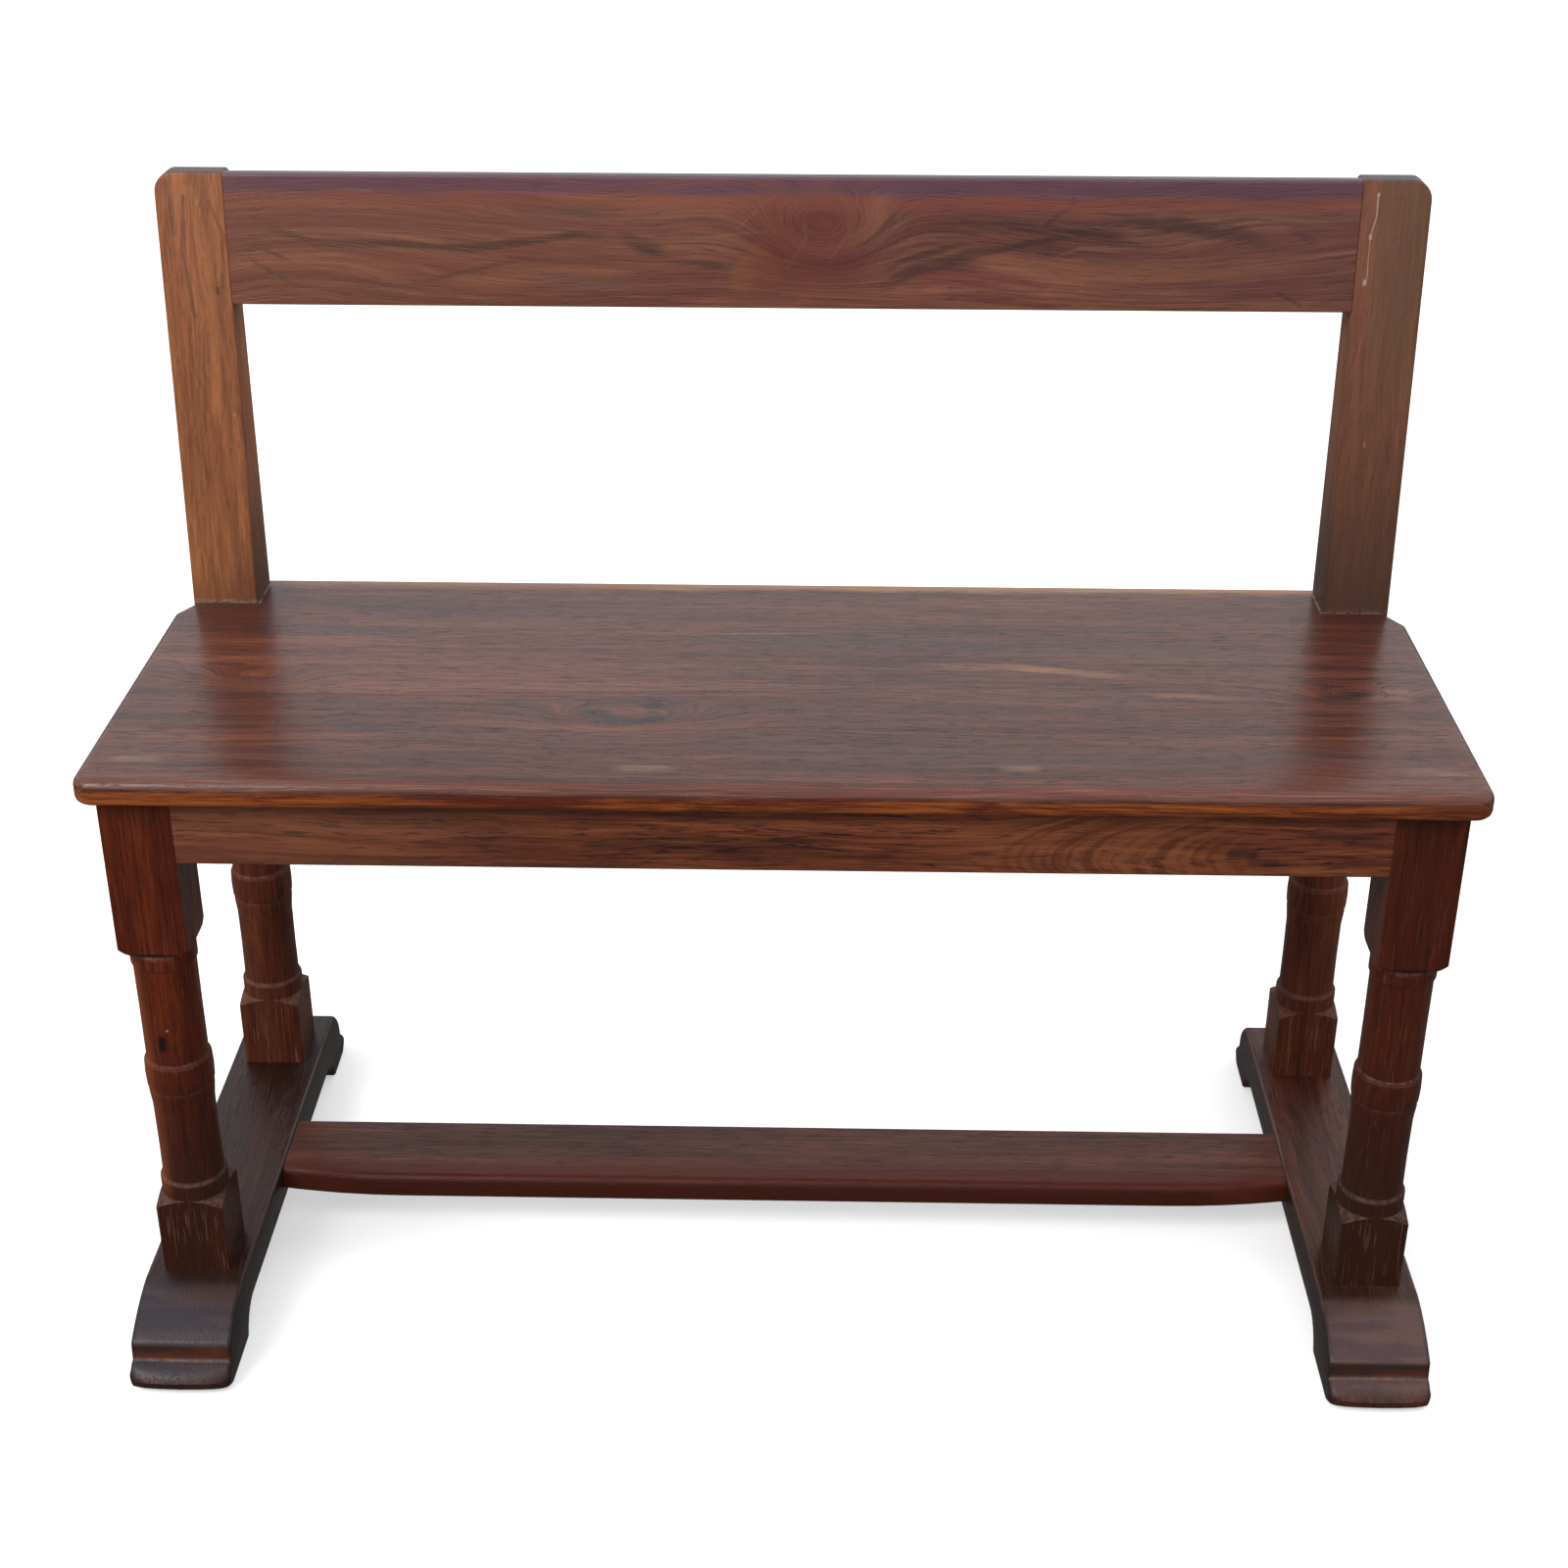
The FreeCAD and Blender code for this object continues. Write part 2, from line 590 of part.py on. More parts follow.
def make_post(name, side):
    body = new_body(name)
    bend = f"({post_top} - post_back_round)"
    path = [
        (post_front, seat_under), (f"{back_line} - post_tongue", seat_under),
        (f"{back_line} - post_tongue", tongue_foot), (back_line, tongue_foot), (back_line, seat_top),
        (back_at(bend), bend),
        through(f"{back_top} - {past_arc('post_back_round')}", f"{post_top} - {past_arc('post_back_round')}"),
        (f"{back_top} - post_back_round", post_top), (f"{post_front} + post_rake", post_top),
        (post_front, seat_top),
    ]
    pad(outline(body, name + "_side", "YZ_Plane", path), "post_width", middle=True)
    # the top's outer corner, cut away beyond its arc
    outer, beyond = f"({side}) * post_width / 2", f"({side}) * (post_width / 2 + cut_over)"
    corner = [
        (outer, f"{post_top} - post_corner"),
        through(f"({side}) * (post_width / 2 - {past_arc('post_corner')})",
                f"{post_top} - {past_arc('post_corner')}"),
        (f"({side}) * (post_width / 2 - post_corner)", post_top),
        (f"({side}) * (post_width / 2 - post_corner)", f"{post_top} + cut_over"),
        (beyond, f"{post_top} + cut_over"), (beyond, f"{post_top} - post_corner"),
    ]
    pocket(outline(body, name + "_corner", "XZ_Plane", corner), f"{back_line} + post_seat_depth")
    inner_face = f"(0 - ({side}) * (post_width / 2 + cut_over))"
    mortise = rail_tenon_section(body, name + "_mortise", "cheek_fit", inner_face)
    pocket(mortise, "rail_tenon_length + end_fit + cut_over", along=side > 0)
    peg_x = f"(({side}) * (rail_peg_inset - post_width / 2))"
    for number, level in enumerate(rail_peg_heights):
        hole = circles(body, f"{name}_peg_hole_{number}", "XZ_Plane", [(peg_x, level)],
                       "peg_diameter + 2 * hole_fit", f"0 - {rail_peg_start(level)} + end_fit")
        pocket(hole, "post_seat_depth + cut_over")
    screw_x = f"(({side}) * (post_screw_outset - post_outset))"
    screws = [(screw_x, level) for level in post_screw_heights]
    pocket(circles(body, name + "_screw_heads", "XZ_Plane", screws, "head_diameter + 2 * hole_fit",
                   f"0 - {back_line} - cut_over"), "head_height + cut_over", along=True)
    pocket(circles(body, name + "_screw_holes", "XZ_Plane", screws, "shank_diameter + 2 * hole_fit",
                   f"0 - {back_line} - cut_over"), "post_tongue + 2 * cut_over", along=True)
    place(body, f"({side}) * {post_x}")
    return body


rail_middle = f"(({rail_top} + {rail_under}) / 2)"
rail_peg_heights = [f"({rail_middle} {sign} rail_peg_pitch / 2)" for sign in "-+"]
rail_tenon_inset = "(rail_thickness / 2 - rail_tenon_thickness / 2)"


def rail_peg_start(level):
    """Y of a peg's blind end, behind the posts' front face."""
    return f"({rake_at(level)} + rail_peg_recess)"


def rail_tenon_section(body, name, slack, lift):
    """The raked section of the crest rail's tenon, wider by a slack for its mortise."""
    low = f"({rail_under} + rail_tenon_shoulder - {slack})"
    high = f"({rail_top} - rail_tenon_shoulder + {slack})"
    front, back = f"({rail_tenon_inset} - {slack})", f"({rail_tenon_inset} + rail_tenon_thickness + {slack})"
    path = [
        (f"{rake_at(low)} + {front}", low), (f"{rake_at(low)} + {back}", low),
        (f"{rake_at(high)} + {back}", high), (f"{rake_at(high)} + {front}", high),
    ]
    return outline(body, name, "YZ_Plane", path, lift)


# Crest rail

def make_rail():
    body = new_body("crest_rail")
    span = f"(2 * {post_x} - post_width)"
    path = [
        (rake_at(rail_under), rail_under), (f"{rake_at(rail_under)} + rail_thickness", rail_under),
        (f"{rake_at(rail_top)} + rail_thickness", rail_top), (rake_at(rail_top), rail_top),
    ]
    board = pad(outline(body, "rail_section", "YZ_Plane", path), span, middle=True)
    top, front = value(rail_top), value(rake_at(rail_top))
    back = front + value("rail_thickness")
    rounded = fillet(board, "rail_back_round", "rail_top_round",
                     lambda a, b: near(a.z, top) and near(b.z, top) and near(a.y, back) and near(b.y, back))
    fillet(rounded, "rail_front_arris", "rail_front_round",
           lambda a, b: near(a.z, top) and near(b.z, top) and near(a.y, front) and near(b.y, front))
    pad(rail_tenon_section(body, "rail_tenons", "0", "0"), f"{span} + 2 * rail_tenon_length", middle=True)
    run = f"({span} / 2 + rail_peg_inset)"
    pegs = [(f"{sign} * {run}", level) for sign in (-1, 1) for level in rail_peg_heights]
    pocket(circles(body, "rail_peg_holes", "XZ_Plane", pegs, "peg_diameter + 2 * hole_fit",
                   "0"), f"{back_line} + post_seat_depth")
    place(body)
    return body


# Pegs, plugs and screws: each group is one node of separate solids

def make_rod(name, diameter, length, x, y, z):
    rod = doc.addObject("Part::Cylinder", name)
    rod.setExpression("Radius", bound(f"({diameter}) / 2"))
    rod.setExpression("Height", bound(length))
    place(rod, x, y, z)
    return rod


def make_peg(name, length, x, y, z, turn):
    """A riven peg with eight flats, along Y."""
    peg = doc.addObject("Part::Prism", name)
    peg.Polygon = peg_side_count
    peg.setExpression("Circumradius", bound("peg_diameter / 2"))
    peg.setExpression("Height", bound(length))
    place(peg, x, y, z, (1, 0, 0), turn)
    return peg


peg_side_count = 8


def make_screw(name, length, x, y, z, axis=(1, 0, 0), turn=0):
    """A screw whose head's top face lies at its place, and whose shank runs along its own -Z."""
    shank = make_rod(name + "_shank", "shank_diameter", length, "0", "0", f"0 - {length}")
    head = make_rod(name + "_head", "head_diameter", "head_height", "0", "0", "0 - head_height")
    screw = doc.addObject("Part::Fuse", name)
    screw.Base = shank
    screw.Tool = head
    place(screw, x, y, z, axis, turn)
    return screw


def group(name, members):
    node = doc.addObject("Part::Compound", name)
    node.Label = name
    node.Links = members
    return node


def make_apron_pegs():
    """Pegs run in from the leg blocks' front or back, through the long aprons' tenons."""
    pegs = []
    for x_sign, x_name in ((-1, "left"), (1, "right")):
        x = f"{x_sign} * ({leg_x} - {half_leg} + apron_peg_inset)"
        for y_sign, y_name, leg_y in ((-1, "front", leg_front), (1, "rear", leg_rear)):
            for number, step in enumerate("-+"):
                pegs.append(make_peg(
                    f"{y_name}_{x_name}_apron_peg_{number}", "apron_peg_length", x,
                    f"{leg_y} + {y_sign} * {half_leg}", f"{apron_middle} {step} apron_peg_pitch / 2",
                    90 * y_sign))
    return group("apron_pegs", pegs)


def make_rail_pegs():
    pegs = []
    for sign, name in ((-1, "left"), (1, "right")):
        for number, level in enumerate(rail_peg_heights):
            pegs.append(make_peg(
                f"{name}_rail_peg_{number}", f"{back_at(level)} - {rail_peg_start(level)}",
                f"{sign} * ({post_x} - post_width / 2 + rail_peg_inset)", rail_peg_start(level), level, -90))
    return group("crest_rail_pegs", pegs)


def make_seat_plugs():
    plugs = [make_rod(where + "_plug", "plug_diameter", "plug_height", x, y,
                      f"{seat_top} - plug_height") for x, y, where in plug_places]
    return group("seat_plugs", plugs)


def make_seat_screws():
    screws = [make_screw(where + "_screw", "seat_screw_length", x, y, f"{seat_top} - plug_height")
              for x, y, where in plug_places]
    return group("seat_screws", screws)


def make_post_screws():
    screws = []
    for sign, name in ((-1, "left"), (1, "right")):
        for number, level in enumerate(post_screw_heights):
            screws.append(make_screw(
                f"{name}_post_screw_{number}", "post_screw_length",
                f"{sign} * ({leg_x} + post_screw_outset)", back_line, level, (1, 0, 0), -90))
    return group("post_screws", screws)


long_screws = [f"{share} * seat_width" for share in front_screw_shares.values()]
nodes = [
    make_seat(),
    make_post("left_back_post", -1),
    make_post("right_back_post", 1),
    make_rail(),
    make_apron("front_apron", spacing_x, "0", leg_front, 0, True, long_screws),
    make_apron("rear_apron", spacing_x, "0", leg_rear, 180, True, []),
    make_apron("left_side_apron", spacing_y, f"0 - {leg_x}", leg_middle, -90, False, []),
    make_apron("right_side_apron", spacing_y, leg_x, leg_middle, 90, False, []),
    make_leg("front_left_leg", f"0 - {leg_x}", leg_front, 0, "x", True),
    make_leg("front_right_leg", leg_x, leg_front, 90, "y", True),
    make_leg("rear_right_leg", leg_x, leg_rear, 180, "x", False),
    make_leg("rear_left_leg", f"0 - {leg_x}", leg_rear, 270, "y", False),
    make_foot("left_foot", -1),
    make_foot("right_foot", 1),
    make_stretcher(),
    make_apron_pegs(),
    make_rail_pegs(),
    make_seat_plugs(),
    make_seat_screws(),
    make_post_screws(),
]
doc.recompute()

# Every feature has to have built, and every cut has to have removed something
for thing in doc.Objects:
    if "Invalid" in thing.State or "Error" in thing.State:
        raise RuntimeError(f"{thing.Label} did not build: {thing.State}")
    if thing.TypeId in ("PartDesign::Pocket", "PartDesign::Groove"):
        if thing.Shape.Volume >= thing.BaseFeature.Shape.Volume:
            raise RuntimeError(f"{thing.Label} cuts nothing")
for node in nodes:
    if node.Shape.isNull() or not node.Shape.isValid():
        raise RuntimeError(f"{node.Label} has no valid shape")

os.makedirs("parts", exist_ok=True)
for node in nodes:
    node.Shape.exportStep(f"parts/{node.Label}.step")
    box = node.Shape.BoundBox
    print(node.Label, len(node.Shape.Solids), round(node.Shape.Volume),
          [round(edge, 1) for edge in (box.XMin, box.YMin, box.ZMin, box.XMax, box.YMax, box.ZMax)])
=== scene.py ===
import math

import bpy
from mathutils import Matrix, Vector


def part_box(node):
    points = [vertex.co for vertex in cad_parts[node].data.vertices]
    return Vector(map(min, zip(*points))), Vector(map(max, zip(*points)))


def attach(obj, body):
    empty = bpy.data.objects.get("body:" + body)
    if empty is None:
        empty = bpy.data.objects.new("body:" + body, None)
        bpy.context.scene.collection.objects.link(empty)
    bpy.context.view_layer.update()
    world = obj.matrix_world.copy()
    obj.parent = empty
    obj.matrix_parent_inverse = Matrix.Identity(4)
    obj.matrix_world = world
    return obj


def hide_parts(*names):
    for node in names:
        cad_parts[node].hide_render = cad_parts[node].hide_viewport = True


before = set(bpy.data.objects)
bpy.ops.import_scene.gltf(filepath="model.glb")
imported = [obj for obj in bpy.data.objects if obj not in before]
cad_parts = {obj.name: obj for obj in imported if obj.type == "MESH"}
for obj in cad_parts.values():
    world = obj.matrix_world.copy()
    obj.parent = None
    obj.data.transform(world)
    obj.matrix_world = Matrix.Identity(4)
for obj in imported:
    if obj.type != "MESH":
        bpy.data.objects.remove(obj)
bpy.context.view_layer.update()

mm = 0.001
close = 0.01 * mm                                  # nearer than this is the same place


# Modelling helpers

def deselectAll():
    if bpy.context.object and bpy.context.object.mode != "OBJECT":
        bpy.ops.object.mode_set(mode="OBJECT")
    bpy.ops.object.select_all(action="DESELECT")


def pick(piece):                                   # the one piece that the next operators work on
    deselectAll()
    piece.select_set(True)
    bpy.context.view_layer.objects.active = piece


def selectEdges(piece, wanted):                    # wanted(a, b) looks at an edge's two ends
    pick(piece)
    bpy.context.tool_settings.mesh_select_mode = (False, True, False)
    mesh = piece.data
    for part in (*mesh.vertices, *mesh.polygons):
        part.select = False
    for edge in mesh.edges:
        first, last = (mesh.vertices[number].co for number in edge.vertices)
        edge.select = wanted(first, last)
    bpy.ops.object.mode_set(mode="EDIT")


def selectPoints(piece, wanted):
    pick(piece)
    bpy.context.tool_settings.mesh_select_mode = (True, False, False)
    mesh = piece.data
    for part in (*mesh.edges, *mesh.polygons):
        part.select = False
    for vertex in mesh.vertices:
        vertex.select = wanted(vertex.co)
    bpy.ops.object.mode_set(mode="EDIT")


def roundCorner(before, corner, after, radius, steps=5):   # the arc that rounds a corner
    toBefore, toAfter = (before - corner).normalized(), (after - corner).normalized()
    half = toBefore.angle(toAfter) / 2
    reach = radius / math.tan(half)
    centre = corner + (toBefore + toAfter).normalized() * radius / math.sin(half)
    start, stop = corner + toBefore * reach - centre, corner + toAfter * reach - centre
    turn = start.angle(stop)
    points = []
    for step in range(steps + 1):
        share = step / steps
        blend = start * math.sin((1 - share) * turn) + stop * math.sin(share * turn)
        points.append(centre + blend / math.sin(turn))
    return points


def rounded(corners, steps=5):                     # corners are (u, v) or (u, v, radius), in mm
    points = []
    for number, corner in enumerate(corners):
        here = Vector(corner[:2])
        before, after = Vector(corners[number - 1][:2]), Vector(corners[(number + 1) % len(corners)][:2])
        if len(corner) == 3:
            points += roundCorner(before, here, after, corner[2], steps)
        else:
            points.append(here)
    return points


def arcThrough(start, middle, stop, steps=8):      # points after start, up to and with stop
    a, b, c = Vector(start), Vector(middle), Vector(stop)
    d = 2 * (a.x * (b.y - c.y) + b.x * (c.y - a.y) + c.x * (a.y - b.y))
    ux = (a.dot(a) * (b.y - c.y) + b.dot(b) * (c.y - a.y) + c.dot(c) * (a.y - b.y)) / d
    uy = (a.dot(a) * (c.x - b.x) + b.dot(b) * (a.x - c.x) + c.dot(c) * (b.x - a.x)) / d
    centre = Vector((ux, uy))
    spin = (a - centre).angle_signed(c - centre)
    return [centre + Matrix.Rotation(-spin * step / steps, 2) @ (a - centre) for step in range(1, steps + 1)]


def trace(name, points):                           # a closed flat outline, drawn corner by corner
    deselectAll()
    bpy.context.tool_settings.mesh_select_mode = (True, False, False)
    bpy.ops.mesh.primitive_plane_add(size=mm, location=points[0])
    piece = bpy.context.object
    piece.name = piece.data.name = name
    bpy.ops.object.mode_set(mode="EDIT")
    bpy.ops.mesh.merge(type="CENTER")
    for here, following in zip(points, points[1:]):
        bpy.ops.mesh.extrude_region_move(TRANSFORM_OT_translate={"value": following - here})
    return piece


def fillAndExtrude(piece, steps):                  # the outline becomes a face, drawn out step by step
    bpy.ops.mesh.select_all(action="SELECT")
    bpy.ops.mesh.edge_face_add()
    for step in steps:
        bpy.ops.mesh.extrude_region_move(TRANSFORM_OT_translate={"value": step})
    bpy.ops.mesh.select_all(action="SELECT")
    bpy.ops.mesh.normals_make_consistent(inside=False)
    settle(piece)


def settle(piece):                                 # the place goes into the mesh
    pick(piece)
    bpy.ops.object.transform_apply(location=True, rotation=True, scale=True)


def easeArrises(piece, width, segments=3, angle=40):
    pick(piece)
    bevel = piece.modifiers.new("arrises", "BEVEL")
    bevel.width = width * mm
    bevel.segments = segments
    bevel.limit_method = "ANGLE"
    bevel.angle_limit = math.radians(angle)
    bevel.use_clamp_overlap = False
    bpy.ops.object.modifier_apply(modifier=bevel.name)


def roundEdges(piece, width, segments, wanted):
    selectEdges(piece, wanted)
    bpy.ops.mesh.bevel(offset=width * mm, segments=segments, affect="EDGES")
    bpy.ops.object.mode_set(mode="OBJECT")


def cutWith(piece, tool, operation):
    pick(piece)
    cut = piece.modifiers.new("cut", "BOOLEAN")
    cut.operation = operation
    cut.object = tool
    cut.solver = "EXACT"
    bpy.ops.object.modifier_apply(modifier=cut.name)
    bpy.data.objects.remove(tool)


def bore(piece, node, share=1.02):                 # a hole in the piece round each rod of a node
    corners = [vertex.co for vertex in piece.data.vertices]
    first, last = Vector(map(min, zip(*corners))), Vector(map(max, zip(*corners)))
    for low, high in rods(node):
        size, middle = high - low, (high + low) / 2
        if any(middle[n] < first[n] - mm or middle[n] > last[n] + mm for n in range(3)):
            continue
        long = max(size) > 1.3 * sorted(size)[1]   # a pin lies along its longest side, a disc its shortest
        axis = list(size).index(max(size) if long else min(size))
        radius = sorted(size[n] for n in range(3) if n != axis)[-1] / 2 * share
        turn = {0: (0, math.pi / 2, 0), 1: (math.pi / 2, 0, 0), 2: (0, 0, 0)}[axis]
        deselectAll()
        bpy.ops.mesh.primitive_cylinder_add(vertices=32, radius=radius, depth=size[axis] + 0.4 * mm,
                                            location=middle, rotation=turn)
        cutWith(piece, bpy.context.object, "DIFFERENCE")


def rods(node):                                    # the box of each separate solid of a node, in metres
    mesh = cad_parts[node].data
    parent = list(range(len(mesh.vertices)))

    def root(number):
        while parent[number] != number:
            parent[number] = parent[parent[number]]
            number = parent[number]
        return number

    places = {}
    for vertex in mesh.vertices:
        key = tuple(round(part / mm, 2) for part in vertex.co)
        parent[vertex.index] = root(places.setdefault(key, vertex.index))
    for edge in mesh.edges:
        parent[root(edge.vertices[0])] = root(edge.vertices[1])
    groups = {}
    for vertex in mesh.vertices:
        groups.setdefault(root(vertex.index), []).append(vertex.co)
    return [(Vector(map(min, zip(*group))), Vector(map(max, zip(*group)))) for group in groups.values()]


def finishPiece(piece, node, material, angle=32):
    pick(piece)
    bpy.ops.object.shade_smooth_by_angle(angle=math.radians(angle))
    piece.data.materials.clear()
    piece.data.materials.append(material)
    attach(piece, "root")
    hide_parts(node)
    return piece


def inMetres(points, plane, place):                # flat points in mm, laid in a plane of the frame
    axes = {"x": Vector((1, 0, 0)), "y": Vector((0, 1, 0)), "z": Vector((0, 0, 1))}
    third = axes[({"x", "y", "z"} - set(plane)).pop()]
    return [(axes[plane[0]] * point[0] + axes[plane[1]] * point[1] + third * place) * mm for point in points]


def boxOf(node):                                   # a node's corners, in mm
    low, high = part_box(node)
    return low / mm, high / mm


# Finishes

class Signal:                                      # one socket of a finish, for maths written as sums

    def __init__(self, finish, socket):
        self.finish, self.socket = finish, socket

    def math(self, operation, *values):
        return self.finish.make("Math", {"operation": operation}, dict(enumerate(values)))

    def __add__(self, other):
        return self.math("ADD", self, other)

    __radd__ = __add__

    def __sub__(self, other):
        return self.math("SUBTRACT", self, other)

    def __rsub__(self, other):
        return self.math("SUBTRACT", other, self)

    def __mul__(self, other):
        return self.math("MULTIPLY", self, other)

    __rmul__ = __mul__

    def __truediv__(self, other):
        return self.math("DIVIDE", self, other)

    def __abs__(self):
        return self.math("ABSOLUTE", self)

    def most(self, other):
        return self.math("MAXIMUM", self, other)

    def least(self, other):
        return self.math("MINIMUM", self, other)

    def near(self, place, reach, core=0.35):       # 1 at a place, fading to 0 from the core to the reach
        return abs(self - place).fade(reach, core * reach)

    def fade(self, low, high):                     # 0 below low, 1 above high, smooth between
        swap = low > high
        values = {"Value": self, "From Min": min(low, high), "From Max": max(low, high)}
        share = self.finish.make("MapRange", {"interpolation_type": "SMOOTHSTEP"}, values)
        return 1 - share if swap else share


class Finish:                                      # the nodes of a material or of the sky

    def __init__(self, owner):
        self.owner = owner
        owner.use_nodes = True
        self.tree = owner.node_tree
        self.tree.nodes.clear()

    def make(self, kind, settings=None, values=None, output=0):
        node = self.tree.nodes.new("ShaderNode" + kind)
        for name, setting in (settings or {}).items():
            if name == "stops":
                setStops(node.color_ramp, setting)
            else:
                setattr(node, name, setting)
        for name, given in (values or {}).items():
            if isinstance(given, Signal):
                self.tree.links.new(given.socket, node.inputs[name])
            else:
                node.inputs[name].default_value = given
        return Signal(self, node.outputs[output]) if node.outputs else node

    def objectPlace(self):
        return self.make("TexCoord", output=3)

    def parts(self, vector):                       # its x, y and z
        split = self.make("SeparateXYZ", None, {0: vector}).socket.node
        return [Signal(self, socket) for socket in split.outputs]

    def join(self, x, y, z=0.0):
        return self.make("CombineXYZ", None, {0: x, 1: y, 2: z})

    def upward(self):                              # 1 where the surface faces up, -1 where it faces down
        return self.parts(self.make("NewGeometry", output=1))[2]

    def blend(self, share, under, over):
        return self.make("Mix", {"data_type": "RGBA"}, {0: share, 6: rgba(under), 7: rgba(over)}, output=2)

    def noise(self, place, stretch, seed, detail, roughness):    # each seed moves it to another part
        moved = self.make("VectorMath", {"operation": "MULTIPLY_ADD"},
                          {0: place, 1: stretch, 2: (seed, seed * 1.7, seed * 2.3)})
        return self.make("TexNoise", None, {"Vector": moved, "Scale": 1.0, "Detail": detail,
                                            "Roughness": roughness})

    def surface(self, colour, roughness, height, specular=0.5, metallic=0.0, glow=0.0):
        normal = self.make("Bump", None, {"Strength": 1.0, "Distance": mm, "Height": height})
        shader = self.make("BsdfPrincipled", None, {
            "Base Color": colour, "Roughness": roughness, "Normal": normal, "Metallic": metallic,
            "Specular IOR Level": specular, "Emission Color": (1, 1, 1, 1), "Emission Strength": glow})
        self.make("OutputMaterial", None, {"Surface": shader})
        return self.owner


def newFinish(name):
    return Finish(bpy.data.materials.new(name))


def setStops(ramp, stops):
    while len(ramp.elements) < len(stops):
        ramp.elements.new(1)
    for element, (place, colour) in zip(ramp.elements, stops):
        element.position = place
        element.color = (*colour, 1)


def rgba(colour):
    return colour if isinstance(colour, Signal) else (*colour, 1)


# The grain runs along the first letter; the two letters are the plane of the face most seen
woodAxes = {"xy": (0, 1, 2), "xz": (0, 2, 1), "yx": (1, 0, 2), "yz": (1, 2, 0), "zx": (2, 0, 1)}

woodLook = {                                       # what every board shares, places in mm
    "body": (0.10, 0.030, 0.016),                  # mean colour of the timber
    "charcoal": (0.012, 0.008, 0.008),
    "wander": 12.0,                                # how far the figure drifts across the board
    "contrast": 0.6,                               # of the broad bands
    "fine": 0.8,                                   # of the fibres
    "veins": 0.5,
    "lines": 0.45,                                 # thin dark growth lines
    "gleams": 0.30,                                # thin light lines
    "tints": 0.15,                                 # patches of ochre and of red
    "pores": 0.6,
    "specular": 0.4,
    "roughness": 0.32,
    "seed": 0.0,
    "whorls": (),                                  # along, across, reach along, reach across, push
    "strokes": (),                                 # points (along, across), half width, share, colour
}


# Layers of a board's noise: stretch along, across and through it, step of the seed, detail, roughness,
# and the values between which the layer fades in
layers = {
    "drift": ((0.0035, 0.012, 0.012), 0, 2.0, 0.50, None),
    "ripple": ((0.013, 0.05, 0.05), 3, 2.0, 0.50, None),
    "wobble": ((0.02, 0.12, 0.12), 5, 3.0, 0.50, None),
    "broad": ((0.0028, 0.036, 0.024), 11, 3.0, 0.55, None),
    "streak": ((0.0060, 0.17, 0.12), 17, 4.0, 0.62, None),
    "fibre": ((0.020, 0.48, 0.42), 23, 4.0, 0.66, None),
    "pores": ((0.050, 0.66, 0.6), 29, 2.0, 0.60, (0.56, 0.66)),
    "gleams": ((0.028, 0.85, 0.7), 31, 2.0, 0.60, (0.58, 0.70)),
    "veins": ((0.0026, 0.050, 0.030), 37, 2.0, 0.50, None),
    "zone": ((0.004, 0.018, 0.018), 41, 1.0, 0.50, (0.48, 0.62)),
    "patch": ((0.006, 0.02, 0.02), 43, 3.0, 0.50, None),
    "lines": ((0.0022, 0.36, 0.25), 47, 3.0, 0.55, (0.54, 0.66)),
    "tint": ((0.0065, 0.075, 0.05), 53, 3.0, 0.55, None),
    "toeBands": ((0.085, 0.012, 0.03), 91, 3.0, 0.60, None),
}
# Noise in the marks on a piece, with the same values but a seed of its own
grits = {
    "thread": ((0.006, 0.5, 0.9), 57.0, 3.0, 0.6, (0.54, 0.60)),
    "hairs": ((0.010, 0.8, 1.3), 59.0, 3.0, 0.6, (0.54, 0.62)),
    "seatGlue": ((0.25, 0.25, 0.25), 61.0, 3.0, 0.7, (0.35, 0.55)),
    "specks": ((0.35, 0.6, 0.6), 67.0, 1.0, 0.5, (0.79, 0.82)),
    "postGlue": ((0.3, 0.3, 0.3), 71.0, 3.0, 0.7, (0.42, 0.62)),
    "apronDust": ((0.12, 0.3, 0.3), 75.0, 3.0, 0.7, (0.55, 0.66)),
    "arcs": ((0.13, 0.13, 0.13), 77.0, 3.0, 0.6, None),
    "legDust": ((0.12, 0.25, 0.25), 83.0, 3.0, 0.7, (0.36, 0.66)),
    "footDust": ((0.10, 0.30, 0.30), 89.0, 3.0, 0.7, (0.42, 0.66)),
}

# Colours of the timber as factors of its body, the first four with their place on the scale of tone
streakFactors = [(0.06, (0.28, 0.27, 0.34)), (0.38, (0.74, 0.72, 0.78)), (0.62, (1.22, 1.22, 1.20)),
                 (0.97, (1.95, 2.25, 2.00))]
tintFactors = [((1.50, 1.62, 1.35), (0.50, 0.64)), ((0.86, 0.56, 0.82), (0.50, 0.36))]   # ochre, red

wanderShare = {"drift": 2.0, "ripple": 0.4}        # of the wander that each layer gives
wobbleReach = {"ring": 1.5, "stroke": 4.0}         # mm that the wobble moves the figure and the strokes
toneWeight = {"broad": 2.1, "streak": 1.7, "fibre": 1.3}
veinLine = {"value": 0.52, "run": (0.018, 0.002)}  # the veins follow one value of their noise
dulling = {"patch": 0.16, "fibre": 0.14, "pores": 0.12, "dust": 0.3}     # added to the roughness
relief = {"fibre": 0.10, "streak": 0.08, "pores": 0.12, "patch": 0.20}   # in mm, the pores sunk

strokeLook = {
    "bend": 1.5, "mostBend": 8.0,                  # by the fibres, in half widths and at most in mm
    "edge": 1.3,                                   # where a stroke ends, in half widths squared
    "solid": 0.55,                                 # share that shows between the streaks
    "streaks": (0.30, 0.55),
    "taperedFrom": 22.0,                           # shorter marks keep blunt ends
    "taper": 0.35, "mostTaper": 45.0,              # share of the length, and at most in mm
    "lead": 0.12, "mostLead": 4.0,
}


